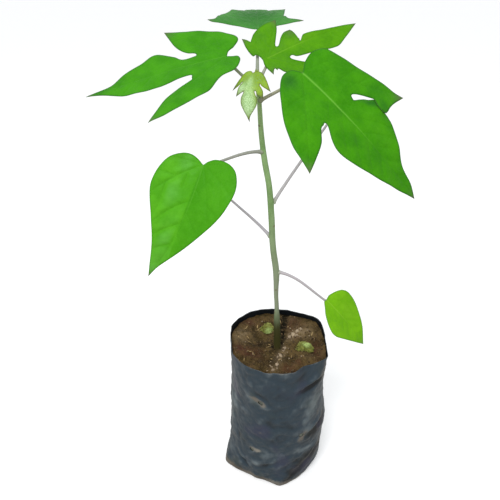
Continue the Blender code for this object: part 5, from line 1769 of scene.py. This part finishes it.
def bud_mesh():
    """The furled leaves as pleated spindles that curve up from the stem's end."""
    tip, _ = stem_at(STEM[-1].z)
    points, faces, along_share = [], [], []
    for bud in BUDS:
        turn, lean = radians(bud.turn), radians(bud.lean)
        faces += tube_faces(len(points), BUD_RINGS, BUD_SIDES)
        for k in range(BUD_RINGS):
            share = k / (BUD_RINGS - 1)
            bend = lean * (1 - 0.55 * share)
            ahead = Vector((cos(turn) * sin(bend), sin(turn) * sin(bend), cos(bend)))
            side = Vector((-sin(turn), cos(turn), 0.0))
            up = side.cross(ahead)
            middle = tip + Vector((0, 0, -BUD_SUNK)) + ahead * (share * bud.length * MM)
            body = sin(pi * min(1.0, 0.16 + 0.84 * share)) ** 0.7 + 0.05
            neck = 0.45 + 0.55 * float(ease(0.1, 0.4, share))
            for i in range(BUD_SIDES):
                around = 2 * pi * i / BUD_SIDES
                pleat = 1 + 0.14 * sin(5 * around + 1.6 * share) * body
                reach = bud.radius * MM * body * neck * pleat
                points.append(tuple(middle + side * (reach * cos(around)) + up * (reach * sin(around))))
                along_share.append(share)
    return smooth_mesh("growing_tip", points, faces, along=along_share)


def bud_finish():
    """Tender green, browner towards the closed tips."""
    mat, tree, shader = new_finish("growing_tip", 0.5, 0.3)
    place = in_place(tree)
    tone = tone_patches(tree, place, 0.003, 0.5)
    colour = coated(tree, mixed(tree, tone, (132, 158, 72), (168, 194, 96)),
                    (graded(tree, stored(tree, "along"), 0.6, 1.0, 0.0, 0.7), (112, 92, 64)))
    dress(tree, shader, colour, clouds(tree, place, 0.0004), 0.3, 0.0001)
    return mat


growing_tip = new_piece("growing_tip", bud_mesh(), bud_finish())


# ========================================================================================
# Studio
# A plain pale floor with a white surround, one soft key light from the front left and above, and
# the camera a little over half a metre away, looking down on the crown.
# ========================================================================================

FLOOR = 15.0                              # metres from its middle to each side
floor_mesh = bpy.data.meshes.new("studio_floor")
floor_mesh.from_pydata([(-FLOOR, -FLOOR, 0), (FLOOR, -FLOOR, 0), (FLOOR, FLOOR, 0), (-FLOOR, FLOOR, 0)],
                       [], [(0, 1, 2, 3)])
floor_finish, floor_tree, floor_shader = new_finish("studio_floor", 0.8, 0.1)
speckle = clouds(floor_tree, in_place(floor_tree), 0.05, 2.0)
seen = add_node(floor_tree, "ShaderNodeLightPath").outputs["Is Camera Ray"]
pale_tone = mixed(floor_tree, speckle, (248, 248, 248), (252, 252, 252))
# The glossy film and leaves mirror a duller floor than the one that is looked at.
for socket, mirrored, looked_at in (("Base Color", (186, 182, 175), pale_tone),
                                    ("Emission Color", (120, 116, 110), (255, 255, 255))):
    floor_tree.links.new(mixed(floor_tree, seen, mirrored, looked_at), floor_shader.inputs[socket])
floor_shader.inputs["Emission Strength"].default_value = 0.16
floor_mesh.materials.append(floor_finish)
studio_floor = bpy.data.objects.new("studio_floor", floor_mesh)
bpy.context.scene.collection.objects.link(studio_floor)

surround = bpy.data.worlds.new("studio_surround")
surround.use_nodes = True
surround.node_tree.nodes["Background"].inputs["Color"].default_value = (0.97, 0.985, 1.0, 1.0)
surround.node_tree.nodes["Background"].inputs["Strength"].default_value = 0.88
bpy.context.scene.world = surround

key_lamp = bpy.data.lights.new("key_light", "AREA")
key_lamp.energy = 15.0
key_lamp.size = 0.50
key_light = bpy.data.objects.new("key_light", key_lamp)
key_light.location = (-0.35, -0.95, 1.55)
key_aim = Vector((0.0, 0.0, 0.25)) - key_light.location
key_light.rotation_euler = key_aim.to_track_quat("-Z", "Y").to_euler()
bpy.context.scene.collection.objects.link(key_light)

lens = bpy.data.cameras.new("studio_camera")
lens.lens = 38.16
lens.sensor_width = 36.0
lens.clip_start = 0.01
camera = bpy.data.objects.new("studio_camera", lens)
camera.location = (-0.0212, -0.418, 0.5217)
camera.rotation_euler = (radians(60), 0.0, 0.0)
bpy.context.scene.collection.objects.link(camera)
bpy.context.scene.camera = camera
bpy.context.scene.view_settings.view_transform = "Standard"
